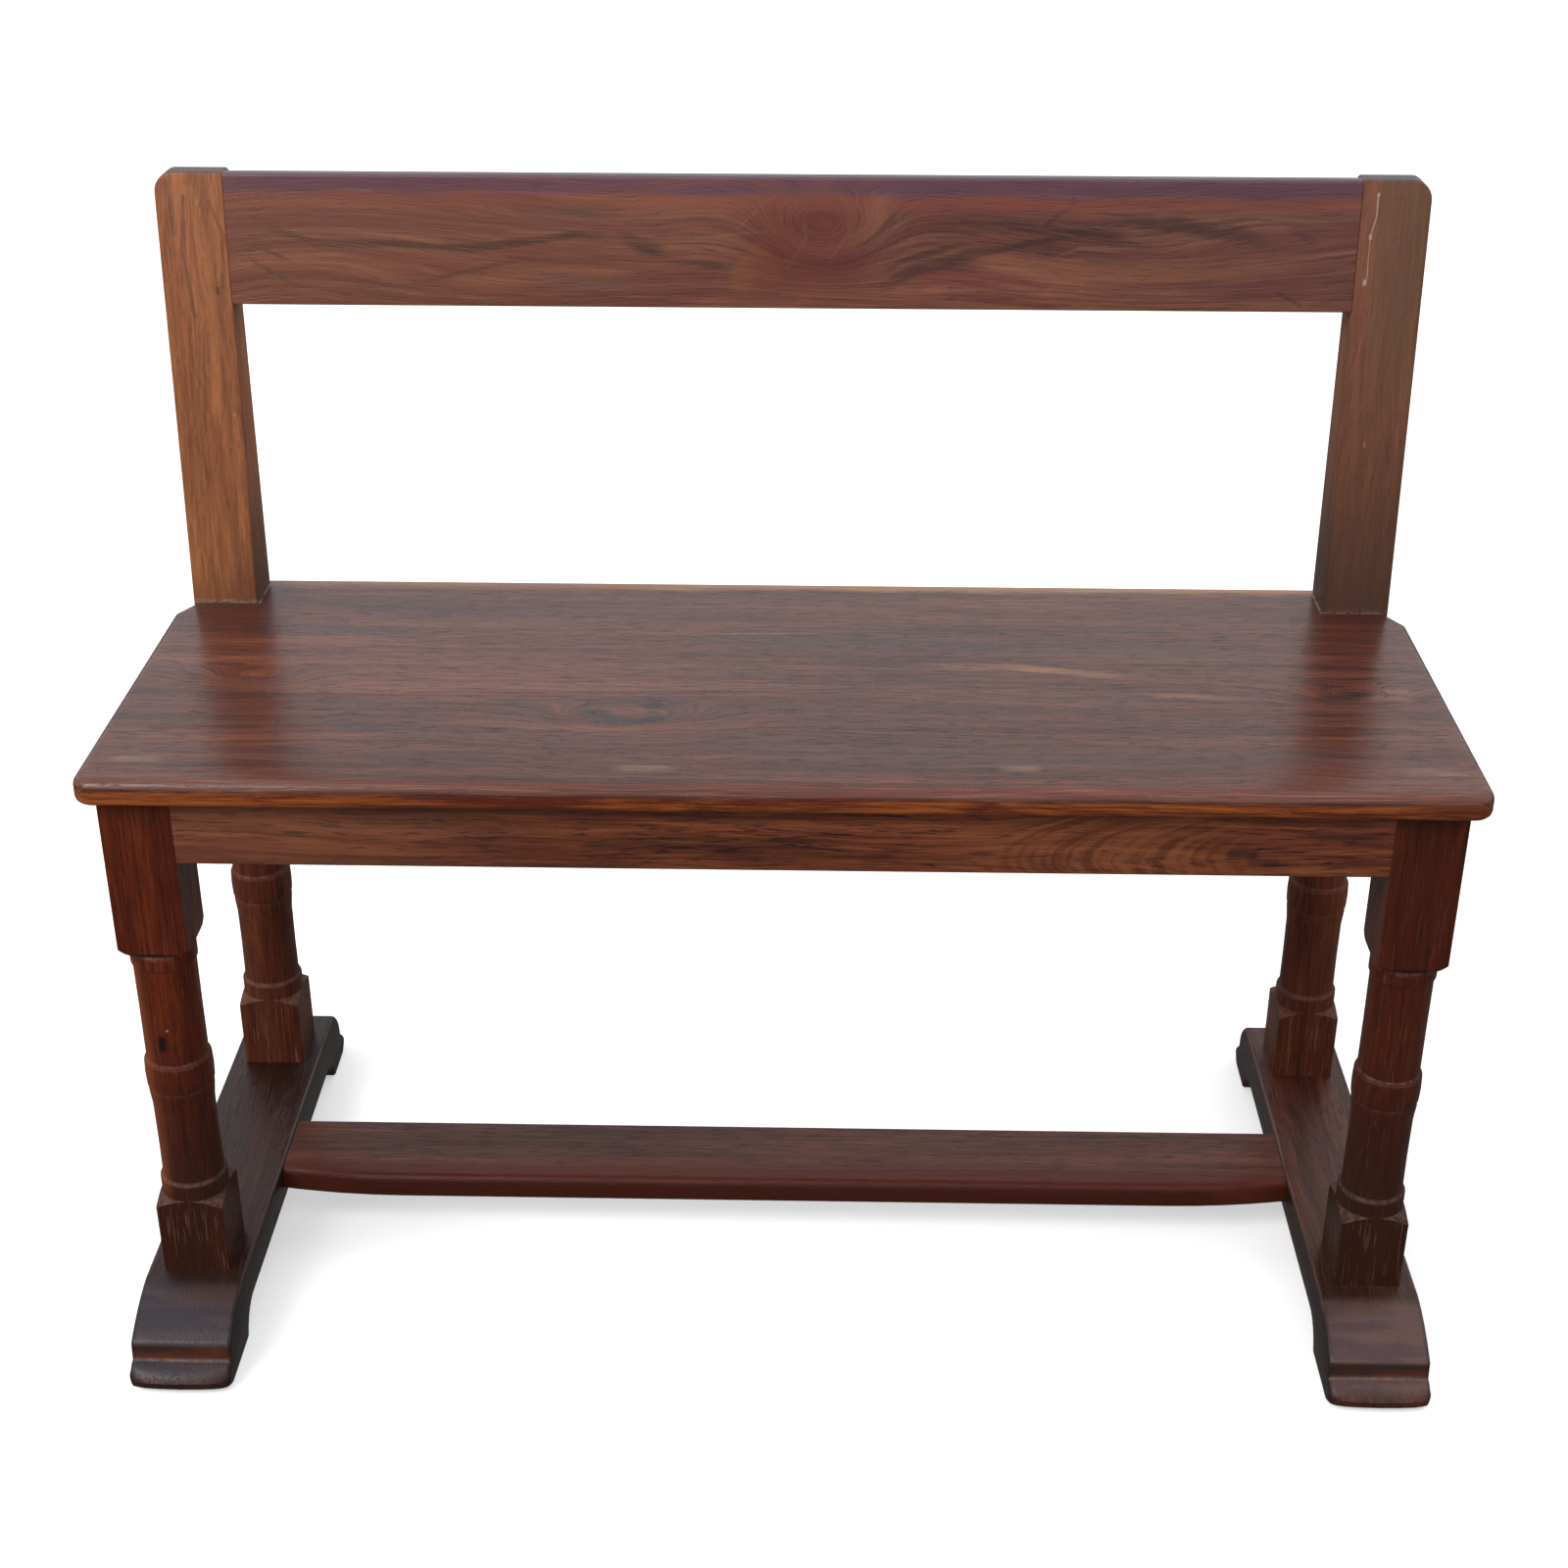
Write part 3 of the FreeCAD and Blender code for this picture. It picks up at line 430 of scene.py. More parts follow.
def tinted(body, factors):
    return tuple(part * factor for part, factor in zip(body, factors))


class Board:                                       # a board's places in mm, its grain and its colour so far

    def __init__(self, finish, look, plane):
        self.finish, self.look = finish, look
        self.x, self.y, self.z = (part * (1 / mm) for part in finish.parts(finish.objectPlace()))
        self.along, across, through = ((self.x, self.y, self.z)[number] for number in woodAxes[plane])
        self.flat = finish.join(self.along, across, through)
        drift = self.layer("drift", self.flat) - 0.5
        ripple = self.layer("ripple", self.flat) - 0.5
        self.wobble = self.layer("wobble", self.flat) - 0.5
        ring = across + drift * (wanderShare["drift"] * look["wander"])
        ring = ring + ripple * (wanderShare["ripple"] * look["wander"]) + self.wobble * wobbleReach["ring"]
        for alongPlace, acrossPlace, reachAlong, reachAcross, push in look["whorls"]:
            du = (self.along - alongPlace) * (1 / reachAlong)
            dv = (across - acrossPlace) * (1 / reachAcross)
            hump = finish.make("Math", {"operation": "POWER"}, {0: math.e, 1: (du * du + dv * dv) * -1})
            ring = ring + hump * push
        self.across = across + self.wobble * wobbleReach["stroke"]
        self.grain = finish.join(self.along, ring, through)
        self.broad, self.streak, self.fibre, self.pores, self.gleams = (
            self.layer(name, self.grain) for name in ("broad", "streak", "fibre", "pores", "gleams"))

    def layer(self, name, place):
        stretch, step, detail, roughness, run = layers[name]
        noise = self.finish.noise(place, stretch, self.look["seed"] + step, detail, roughness)
        return noise.fade(*run) if run else noise

    def grit(self, name, place=None):
        *values, run = grits[name]
        noise = self.finish.noise(place or self.flat, *values)
        return noise.fade(*run) if run else noise

    def paint(self, area, share, colour):          # area is 1 where the paint goes, share is how strong
        self.colour = self.finish.blend(area * share, self.colour, colour)

    def paintGrain(self):
        look, body = self.look, self.look["body"]
        tone = 0.5 + (self.broad - 0.5) * (toneWeight["broad"] * look["contrast"])
        tone = tone + (self.streak - 0.5) * (toneWeight["streak"] * look["contrast"])
        tone = tone + (self.fibre - 0.5) * (toneWeight["fibre"] * look["fine"])
        stops = [(place, tinted(body, factors)) for place, factors in streakFactors]
        dark, warm = stops[0][1], stops[-1][1]
        self.colour = self.finish.make("ValToRGB", {"stops": stops}, {0: tone})
        tint = self.layer("tint", self.grain)
        for factors, run in tintFactors:
            self.paint(tint.fade(*run), look["tints"], tinted(body, factors))
        vein = abs(self.layer("veins", self.grain) - veinLine["value"]).fade(*veinLine["run"])
        vein = vein * self.layer("zone", self.grain)
        self.paint(self.layer("lines", self.grain), look["lines"], dark)
        self.paint(vein, look["veins"], look["charcoal"])
        for points, halfWidth, share, colour in look["strokes"]:
            self.paint(self.strokeShare(points, halfWidth), share, colour)
        self.paint(self.gleams, look["gleams"], warm)
        self.paint(self.pores, look["pores"], look["charcoal"])

    def strokeShare(self, points, halfWidth):      # 1 along a run of points, fading out beside it
        nearest = None
        bend = min(strokeLook["bend"] * halfWidth, strokeLook["mostBend"])
        bent = self.across + (self.fibre - 0.5) * bend
        for (alongFrom, acrossFrom), (alongTo, acrossTo) in zip(points, points[1:]):
            du, dv = alongTo - alongFrom, acrossTo - acrossFrom
            u, v = self.along - alongFrom, bent - acrossFrom
            run = ((u * du + v * dv) * (1 / (du * du + dv * dv))).most(0.0).least(1.0)
            u, v = u - run * du, v - run * dv
            away = u * u + v * v
            nearest = nearest.least(away) if nearest else away
        share = (nearest * (1 / halfWidth ** 2)).fade(strokeLook["edge"], 0.0)
        solid = strokeLook["solid"]
        share = share * (self.streak.fade(*strokeLook["streaks"]) * (1 - solid) + solid)
        first, last = points[0][0], points[-1][0]
        length = last - first
        if length > strokeLook["taperedFrom"]:     # marks along the grain taper off at both ends
            taper = min(strokeLook["taper"] * length, strokeLook["mostTaper"])
            lead = min(strokeLook["lead"] * length, strokeLook["mostLead"])
            share = share * self.along.fade(first - lead, first + taper)
            share = share * self.along.fade(last + lead, last - taper)
        return share


def rosewood(name, plane, marks=None, **changes):  # marks(board) paints the piece's own marks
    board = Board(newFinish(name), {**woodLook, **changes}, plane)
    board.paintGrain()
    dust = marks(board) if marks else None
    patch = board.layer("patch", board.flat)
    roughness = board.look["roughness"] + (patch - 0.5) * dulling["patch"]
    roughness = roughness + (board.fibre - 0.5) * dulling["fibre"] + board.pores * dulling["pores"]
    if dust:
        roughness = roughness + dust * dulling["dust"]
    height = board.fibre * relief["fibre"] + board.streak * relief["streak"]
    height = height - board.pores * relief["pores"] + patch * relief["patch"]
    return board.finish.surface(board.colour, roughness, height, board.look["specular"])


# Timber, board by board. Places are in mm: fade(a, b) grows from none at a to full at b, and
# near(a, b) is full round a and none from b on

pale = (0.27, 0.175, 0.115)
glue = (0.30, 0.235, 0.19)
darkVein = (0.022, 0.012, 0.012)
greyBand = (0.046, 0.027, 0.026)


seatPaint = {                                      # how strong, and the colour
    "sapwood": (1.0, (0.36, 0.170, 0.075)),
    "postReflection": (0.60, (0.052, 0.012, 0.0080)),     # painted reflection of the posts, darker round them
    "rearShade": (0.40, (0.048, 0.019, 0.014)),
    "nosing": (0.50, (0.155, 0.045, 0.025)),
    "thread": (0.70, (0.040, 0.010, 0.006)),
    "hairs": (0.45, (0.27, 0.125, 0.085)),
    "glue": (0.6, glue), "specks": (0.5, glue), "filler": (0.7, pale),
}
seatEdge = {"share": 0.90, "red": (0.120, 0.020, 0.006), "gold": (0.42, 0.105, 0.018), "run": (0.72, 0.98)}
seatFillers = [(-86, -126, 26), (152, -121, 17), (-414, -120, 20), (417, -119, 24), (418, 1, 12)]


def seatMarks(board):
    x, y, z, wobble = board.x, board.y, board.z, board.wobble
    low, high = boxOf("seat_board")
    front, rear, top = low.y, high.y, high.z
    postLow = boxOf("right_back_post")[0]
    sapwood = (y + wobble * 16).fade(rear - 16, rear - 3) * (board.fibre * 0.8 + 0.4)
    board.paint(sapwood, *seatPaint["sapwood"])
    # painted reflection of the posts on the seat top
    postReflection = abs(x).near(postLow.x + 13, 62) * y.fade(40, 128) * y.fade(rear - 1, rear - 29)
    board.paint(postReflection, *seatPaint["postReflection"])
    board.paint(y.fade(70, 150) * x.fade(80, -220), *seatPaint["rearShade"])
    lowEdge = (z + wobble * 2).fade(top - 5.5, top - 8.5) * y.fade(front + 6, front + 2)
    golden = board.broad + board.fibre * 0.6 + x.near(300, 200) * 0.08 + x.near(-400, 260) * 0.12
    board.paint(lowEdge, seatEdge["share"],
                board.finish.blend(golden.fade(*seatEdge["run"]), seatEdge["red"], seatEdge["gold"]))
    board.paint(y.fade(front + 11, front + 4) * z.fade(top - 7, top - 4), *seatPaint["nosing"])
    layer = board.finish.join(x, y + wobble * 3, z + wobble * 3)
    board.paint(board.grit("thread", layer) * y.fade(front + 5, front + 2), *seatPaint["thread"])
    hairs = board.grit("hairs", layer) * y.fade(front + 8, front + 4) * z.fade(top - 8, top - 6)
    board.paint(hairs, *seatPaint["hairs"])
    inner, notch = postLow.x - 1.2, postLow.y - 1.2
    ahead = abs(x).fade(postLow.x - 2, postLow.x - 1) * y.near(notch, 1.4) * z.fade(top - 1, top - 0.5)
    dust = ahead.most(abs(x).near(inner, 1.2) * y.fade(notch, notch + 1)) * board.grit("seatGlue")
    board.paint(dust, *seatPaint["glue"])
    board.paint(board.grit("specks"), *seatPaint["specks"])
    filler = None
    for plugX, plugY, reach in seatFillers:
        patch = (x + wobble * 8).near(plugX, reach) * (y + wobble * 6).near(plugY, 6.5)
        filler = filler.most(patch) if filler else patch
    filler = filler * (board.fibre.fade(0.32, 0.62) * 0.7 + 0.15)
    board.paint(filler, *seatPaint["filler"])
    return dust.most(filler)


seatWood = rosewood(
    "seat_board_wood", "xy", seatMarks, seed=4.0, body=(0.096, 0.0275, 0.0160), roughness=0.25, specular=0.44,
    contrast=0.60, fine=1.0, lines=0.50, gleams=0.30, pores=0.6, tints=0.30,
    whorls=[(-104, -49, 55, 15, 40), (-365, 5, 50, 16, 26), (390, -10, 45, 15, 26), (-250, -80, 90, 25, -9)],
    strokes=[
        ([(-90, 80), (60, 72), (330, 62)], 15, 0.50, greyBand),
        ([(-40, -98), (120, -106), (380, -98)], 14, 0.50, greyBand),
        ([(-420, 92), (-240, 84)], 9, 0.40, greyBand), ([(-330, -66), (-160, -84)], 9, 0.40, greyBand),
        ([(-133, -44), (-116, -47)], 6.5, 1.00, darkVein), ([(-114, -55), (-101, -58)], 6.5, 1.00, darkVein),
        ([(-94, -58), (-82, -52)], 5.5, 1.00, darkVein), ([(-90, -34), (-77, -31)], 5.5, 0.90, darkVein),
        ([(-118, -27), (-56, -28)], 3.4, 0.80, darkVein), ([(-30, -34), (20, -38)], 3.0, 0.50, darkVein),
        ([(-112, -44), (-96, -42)], 6.0, 0.35, (0.17, 0.070, 0.040)),
        ([(86, 38), (112, 35), (163, 35), (202, 26), (254, 19)], 6.0, 0.55, (0.28, 0.120, 0.060)),
        ([(150, 34), (208, 27)], 4.0, 0.55, (0.31, 0.135, 0.068)),
        ([(240, -7), (318, -14)], 4.6, 0.50, (0.26, 0.110, 0.056)),
        ([(220, -15), (252, -15)], 5.0, 0.55, greyBand), ([(360, -11), (392, -9)], 6.0, 0.75, darkVein),
        ([(394, -10), (412, -9), (430, -14)], 4.5, 0.45, (0.26, 0.105, 0.050)),
        ([(-402, 28), (-380, 27)], 3.6, 0.65, darkVein), ([(-377, -22), (-356, -19)], 4.0, 0.60, darkVein),
        ([(-300, 118), (60, 112)], 2.4, 0.55, darkVein), ([(-60, 100), (390, 96)], 1.8, 0.60, darkVein),
        ([(-60, 88), (40, 90)], 1.4, 0.50, (0.24, 0.120, 0.075)),
        ([(147, -128), (153, -127)], 2.2, 0.80, darkVein),
    ])


postPaint = {
    "shadeOverSeat": (0.45, (0.085, 0.032, 0.018)),
    "glue": (0.6, glue),
    "grime": (1.0, (0.070, 0.032, 0.020)),
    "innerSideShade": (0.6, (0.035, 0.018, 0.016)),
    "olive": (0.5, (0.150, 0.074, 0.036)),
    "warmEdge": (0.4, (0.20, 0.060, 0.030)),
    "topEndSheen": (0.85, (0.040, 0.034, 0.042)),
}


def postMarks(board):
    x, z, look = board.x, board.z, board.look
    inner, top = boxOf("right_back_post")[0].x, boxOf("right_back_post")[1].z
    seatTop = boxOf("seat_board")[1].z
    # painted shade on the post just above the seat
    board.paint(z.fade(seatTop + 35, seatTop + 1), *postPaint["shadeOverSeat"])
    foot = z.near(seatTop + 0.5, 2.2) * board.grit("postGlue")
    board.paint(foot, *postPaint["glue"])
    # painted shade, darker towards the bottom of the post
    board.paint(z.fade(640, 440) * look["grime"], *postPaint["grime"])
    # painted shade on the inner side, low down
    board.paint(abs(x).fade(inner + 2.5, inner + 0.5) * z.fade(560, 460), *postPaint["innerSideShade"])
    if look["olive"]:
        board.paint(x.fade(inner + 13, inner + 14.5) * z.fade(560, 640), *postPaint["olive"])
        board.paint(x.fade(inner + 13, inner + 7) * z.fade(600, 700), *postPaint["warmEdge"])
    # painted blue-grey sheen on the top end
    topEndSheen = board.finish.upward().fade(0.45, 0.8) * z.fade(top - 24.5, top - 9.5)
    board.paint(topEndSheen, *postPaint["topEndSheen"])
    return foot


postLook = {"veins": 0.1, "lines": 0.15, "pores": 0.22, "gleams": 0.18, "wander": 6.0, "fine": 0.50}
# The left post's body is lighter than the right's: partly the wood, partly painted light from the left
leftPostWood = rosewood(
    "left_post_wood", "zx", postMarks, seed=9.0, body=(0.335, 0.119, 0.045), contrast=0.32,
    roughness=0.40, specular=0.35, olive=False, grime=0.15, whorls=[(712, -412, 40, 8, 8)], **postLook,
    strokes=[
        ([(742, -415), (712, -411), (678, -408), (590, -410)], 5.0, 0.40, (0.50, 0.185, 0.060)),
        ([(738, -420), (700, -424), (655, -419)], 1.8, 0.55, (0.085, 0.036, 0.022)),
        ([(735, -402), (712, -394), (676, -398)], 1.6, 0.45, (0.085, 0.036, 0.022)),
        ([(748, -430), (712, -428)], 2.2, 0.40, (0.090, 0.042, 0.028)),
        ([(675, -402), (672, -402)], 1.7, 0.85, (0.045, 0.018, 0.012)),
        ([(735, -411), (733, -411)], 1.4, 0.85, glue), ([(586, -398), (585, -398)], 1.2, 0.80, glue),
        ([(680, -400), (460, -404)], 3.2, 0.30, (0.15, 0.052, 0.026)),
        ([(640, -424), (520, -428)], 2.4, 0.30, (0.15, 0.052, 0.026)),
    ])
hair = (0.55, 0.47, 0.41)
rightPostWood = rosewood(
    "right_post_wood", "zx", postMarks, seed=12.0, body=(0.172, 0.063, 0.031), contrast=0.28,
    roughness=0.38, specular=0.4, olive=True, grime=0.85, **postLook,
    strokes=[
        ([(746, 403), (729, 403), (716, 400), (697, 400), (685, 400)], 0.55, 0.60, hair),
        ([(717, 400), (715, 400)], 1.4, 0.9, hair), ([(686, 399), (684, 399)], 1.4, 0.9, hair),
        ([(745, 403), (744, 403)], 1.0, 0.8, hair), ([(572, 410), (569, 410)], 1.2, 0.7, glue),
    ])


railPaint = {
    "leftLight": (0.30, (0.27, 0.115, 0.060)),
    "rightShade": (0.30, (0.090, 0.046, 0.038)),
    "red": (0.60, (0.130, 0.024, 0.016)),
    "rosyBand": (0.45, (0.235, 0.062, 0.042)),
    "sheen": (1.0, (0.112, 0.046, 0.074)),
    "topSheen": (0.7, (0.075, 0.060, 0.085)),
}


def railMarks(board):
    x, z, wobble = board.x, board.z, board.wobble
    top = boxOf("crest_rail")[1].z
    # painted light from the left, and painted shade to the right
    board.paint(x.fade(200, -360), *railPaint["leftLight"])
    board.paint(x.fade(80, 380), *railPaint["rightShade"])
    board.paint(x.near(12, 60) * z.near(712, 50), *railPaint["red"])
    board.paint((z + wobble * 10).near(top - 17, 8), *railPaint["rosyBand"])
    # painted sheen along the top of the front face
    sheen = (z + wobble * 8).fade(top - 16, top - 8) * (0.55 + board.streak.fade(0.4, 0.6) * 0.35)
    board.paint(sheen, *railPaint["sheen"])
    # painted sheen on the top
    board.paint(board.finish.upward().fade(0.35, 0.8), *railPaint["topSheen"])


redLine = (0.36, 0.165, 0.110)
purple = (0.040, 0.022, 0.034)
railWood = rosewood(
    "crest_rail_wood", "xz", railMarks, seed=15.0, body=(0.178, 0.062, 0.039), contrast=0.60, fine=0.70,
    wander=10.0, veins=0.4, lines=0.35, gleams=0.28, pores=0.35, roughness=0.34, specular=0.45, tints=0.60,
    whorls=[(22, 716, 40, 26, 52), (-330, 700, 90, 30, -18), (250, 700, 110, 30, 16), (-130, 730, 80, 18, 10)],
    strokes=[
        ([(-378, 722), (-331, 707), (-276, 707), (-222, 704), (-148, 714), (-110, 710)], 3.2, 0.90, darkVein),
        ([(-380, 707), (-347, 695)], 1.6, 0.60, darkVein), ([(-380, 697), (-346, 677)], 1.6, 0.60, darkVein),
        ([(-266, 678), (-247, 683), (-178, 699)], 2.0, 0.55, darkVein),
        ([(-122, 713), (-102, 708), (-84, 702)], 5.5, 0.70, darkVein),
        ([(-112, 706), (-88, 700)], 3.0, 0.5, darkVein),
        ([(-190, 727), (-118, 730)], 7.0, 0.45, (0.105, 0.052, 0.042)),
        ([(-196, 683), (-92, 680)], 6.5, 0.45, (0.120, 0.066, 0.055)),
        ([(-330, 674), (-240, 680)], 4.0, 0.45, (0.100, 0.050, 0.038)),
        ([(-262, 742), (-140, 742)], 0.9, 0.55, (0.30, 0.125, 0.140)),
        ([(-314, 744), (-286, 743)], 1.3, 0.55, (0.36, 0.23, 0.20)),
        ([(-84, 697), (-37, 692)], 2.2, 0.70, darkVein),
        ([(-33, 684), (-22, 700), (-14, 690)], 11.0, 0.50, (0.30, 0.105, 0.040)),
        ([(56, 674), (83, 690), (114, 699), (150, 708)], 5.5, 0.62, darkVein),
        ([(57, 685), (82, 699), (130, 712)], 3.0, 0.60, darkVein),
        ([(118, 701), (187, 714), (212, 718)], 3.0, 0.60, darkVein),
        ([(197, 720), (232, 727), (280, 721), (315, 717), (345, 702)], 6.0, 0.68, darkVein),
        ([(181, 752), (228, 743), (275, 750), (323, 745), (359, 747)], 4.6, 0.75, purple),
        ([(194, 746), (196, 738), (177, 723)], 2.0, 0.45, darkVein),
        ([(87, 750), (116, 745)], 3.6, 0.60, purple),
        ([(341, 723), (366, 710)], 3.0, 0.40, darkVein), ([(338, 678), (356, 669)], 1.6, 0.40, darkVein),
        ([(-38, 718), (-19, 735), (-4, 745)], 1.1, 0.40, redLine),
        ([(2, 742), (19, 744), (26, 738)], 1.1, 0.40, redLine),
        ([(36, 751), (46, 744), (46, 735), (40, 730), (41, 716), (29, 700)], 1.1, 0.45, redLine),
        ([(10, 723), (11, 711), (-2, 693)], 1.3, 0.35, redLine),
        ([(-70, 711), (-39, 715), (6, 718)], 1.1, 0.30, redLine),
        ([(180, 699), (200, 707), (245, 708)], 1.4, 0.35, redLine),
    ])


apronPaint = {
    "leftLight": (0.28, (0.25, 0.105, 0.060)),
    "rightWarmth": (0.25, (0.28, 0.090, 0.035)),
    "lightArcs": (0.55, (0.235, 0.086, 0.042)),
    "darkArcs": (0.55, (0.072, 0.022, 0.012)),
    "dust": (0.7, glue),
}


def apronMarks(board):
    x, z = board.x, board.z
    top = boxOf("front_apron")[1].z
    # painted light from the left
    board.paint(x.fade(-60, -330), *apronPaint["leftLight"])
    board.paint(x.near(190, 120) * z.near(404, 30), *apronPaint["rightWarmth"])
    fromMiddle = z - 392                           # growth lines curve to both sides of this height
    sweep = x - fromMiddle * fromMiddle * 0.06 + board.wobble * 9
    arcs = board.grit("arcs", board.finish.join(sweep, z * 0.12))
    figured = x.near(215, 105) * z.fade(top, top - 9)
    board.paint(arcs.fade(0.50, 0.62) * figured, *apronPaint["lightArcs"])
    board.paint(arcs.fade(0.50, 0.38) * figured, *apronPaint["darkArcs"])
    dusty = z.fade(top - 2.4, top - 0.8) * board.grit("apronDust")
    board.paint(dusty, *apronPaint["dust"])
    return dusty


apronWood = rosewood(
    "apron_wood", "xz", apronMarks, seed=21.0, body=(0.160, 0.045, 0.021), roughness=0.42, specular=0.2,
    contrast=0.55, fine=1.2, pores=0.75, veins=0.25, lines=0.50, gleams=0.40, tints=0.30,
    whorls=[(-200, 395, 120, 16, 6)],
    strokes=[
        ([(-380, 412), (-180, 405)], 4.0, 0.35, (0.26, 0.11, 0.060)),
        ([(318, 411), (392, 409)], 3.4, 0.60, darkVein), ([(288, 397), (303, 395)], 3.4, 0.65, darkVein),
        ([(302, 391), (316, 390)], 3.6, 0.65, darkVein), ([(340, 395), (374, 394)], 1.5, 0.70, darkVein),
        ([(346, 386), (370, 389)], 1.2, 0.60, darkVein),
        ([(-390, 384), (-60, 381)], 2.4, 0.40, darkVein), ([(-330, 420), (-160, 417)], 2.0, 0.35, darkVein),
        ([(-120, 396), (40, 400)], 2.0, 0.35, darkVein), ([(-390, 396), (-300, 402)], 2.4, 0.35, darkVein),
    ])
sideApronWood = rosewood("side_apron_wood", "yz", seed=23.0, body=(0.085, 0.026, 0.013), roughness=0.42,
                         specular=0.2)


legPaint = {
    "grime": (1.0, (0.024, 0.0095, 0.0060)),
    "litSide": (1.0, (0.34, 0.085, 0.018)),
    "topBlock": (0.22, (0.026, 0.007, 0.004)),
    "dust": (0.45, (0.17, 0.100, 0.078)),
    "shoulder": (0.75, (0.010, 0.005, 0.004)),     # painted shadow line under the top block
    "scratches": (1.0, (0.21, 0.110, 0.070)),
    "knot": (0.9, (0.008, 0.005, 0.005)),
    "chip": (0.8, glue),
}
turnedFrom, turnedTo = 107, 309                    # height of the turned part
ledges = [turnedFrom + (turnedTo - turnedFrom) * share for share in (0.074, 0.449, 0.562, 0.938, 0.984)]


def legMarks(board):
    x, y, z, look, wobble = board.x, board.y, board.z, board.look, board.wobble
    # painted shade, darker towards the bottom of the leg
    board.paint(z.fade(290, 100) * look["grime"], *legPaint["grime"])
    turned = z.fade(turnedFrom - 2, turnedFrom + 13) * z.fade(turnedTo - 3, turnedTo - 9)
    # painted orange sheen on the left side of the turned column
    board.paint(x.fade(-421, -434) * look["litSide"] * turned, *legPaint["litSide"])
    board.paint(z.fade(turnedTo - 3, turnedTo + 3), *legPaint["topBlock"])
    dust = board.finish.upward().fade(0.30, 0.85) * z.fade(turnedFrom - 6, turnedFrom - 4) * z.fade(330, 320)
    for level in ledges:
        dust = dust.most(z.near(level, 1.1))
    dust = dust * board.grit("legDust")
    board.paint(dust, *legPaint["dust"])
    # painted shadow under the top block
    board.paint(z.near(turnedTo + 1, 2.6), *legPaint["shoulder"])
    board.paint(board.gleams * (0.10 + z.fade(112, 100) * 0.40), *legPaint["scratches"])
    front = y.fade(-130, -134)
    knot = (x + wobble * 2).near(-417, 4.0) * (z + wobble * 5).near(239, 9)
    board.paint(knot * front, *legPaint["knot"])
    board.paint(x.near(-412.5, 1.1) * z.near(250, 1.4) * front, *legPaint["chip"])
    return dust


legLook = {"roughness": 0.36, "specular": 0.18, "contrast": 0.40, "fine": 0.9, "wander": 6.0, "veins": 0.15,
           "lines": 0.40, "pores": 0.5, "gleams": 0.40, "grime": 0.80, "litSide": 0.0}
frontLeftLegWood = rosewood("front_left_leg_wood", "zx", legMarks, seed=27.0, body=(0.112, 0.0185, 0.0062),
                            **{**legLook, "litSide": 0.4})
frontRightLegWood = rosewood("front_right_leg_wood", "zx", legMarks, seed=29.0, body=(0.078, 0.0155, 0.0062),
                             **{**legLook, "fine": 0.55, "contrast": 0.30, "lines": 0.22})
# The rear legs' body is painted lighter, against the shade they get under the seat
rearLegWood = rosewood("rear_leg_wood", "zx", legMarks, seed=31.0, body=(0.138, 0.033, 0.0135),
                       **{**legLook, "grime": 0.45})


footPaint = {
    "legReflection": (0.5, (0.018, 0.010, 0.008)),
    # painted shade on the sides
    "side": (0.90, (0.009, 0.006, 0.005)),
    "dust": (0.3, glue),
}
riserGold, riserDark = (0.090, 0.020, 0.006), (0.022, 0.007, 0.004)


def footMarks(board):
    x, y, z, look = board.x, board.y, board.z, board.look
    low, high = boxOf("right_foot")
    middle, half, top, tip = (low.x + high.x) / 2, (high.x - low.x) / 2, high.z, high.y
    # painted reflection of the leg block on the foot's top
    board.paint((y + board.wobble * 8).near(-152, 12) * z.fade(top - 5, top - 2), *footPaint["legReflection"])
    # the toe's slope in bands of painted bluish sheen and brown wood
    bands = board.layer("toeBands", board.flat)
    toe = board.finish.blend(bands.fade(0.42, 0.58), look["toeDark"], look["toeLight"])
    board.paint(y.fade(-152, -166) * z.fade(12, 18), 0.8, toe)
    # painted shade on the foot's sides
    side = abs(abs(x) - middle).fade(half - 3, half - 0.5) * z.fade(top, top - 6)
    board.paint(side, *footPaint["side"])
    riser = abs(y).near(tip - 16.2, 1.9) * z.fade(31.5, 30.5) * z.fade(18, 19)
    board.paint(riser, 0.9, board.finish.blend((bands + z * 0.02).fade(0.85, 1.15), riserGold, riserDark))
    dust = abs(y).near(tip - 14.6, 1.2) * z.near(18.9, 1.6) * board.grit("footDust")
    board.paint(dust, *footPaint["dust"])
    return dust


footLook = {"contrast": 0.6, "fine": 0.7, "wander": 16.0, "roughness": 0.36, "specular": 0.34}
leftFootWood = rosewood("left_foot_wood", "yx", footMarks, seed=33.0, body=(0.028, 0.0078, 0.0046),
                        toeDark=(0.030, 0.024, 0.036), toeLight=(0.058, 0.034, 0.033), **footLook)
rightFootWood = rosewood("right_foot_wood", "yx", footMarks, seed=35.0, body=(0.068, 0.0185, 0.0095),
                         toeDark=(0.075, 0.040, 0.046), toeLight=(0.112, 0.062, 0.055), **footLook)


stretcherPaint = {
    "frontHalfShade": (0.75, (0.084, 0.013, 0.006)),
    "frontFaceShade": (0.8, (0.050, 0.0095, 0.0045)),
}


def stretcherMarks(board):
    low, high = boxOf("stretcher")
    # painted shade on the front half of the top and on the front face
    board.paint(board.y.fade(-6, -16), *stretcherPaint["frontHalfShade"])
    face = board.y.fade(low.y + 2.5, low.y + 0.5) * board.z.fade(high.z - 1.5, high.z - 4)
    board.paint(face, *stretcherPaint["frontFaceShade"])


stretcherWood = rosewood("stretcher_wood", "xy", stretcherMarks, seed=39.0, body=(0.088, 0.027, 0.0155),
                         roughness=0.38, specular=0.22, contrast=0.5, fine=0.7)


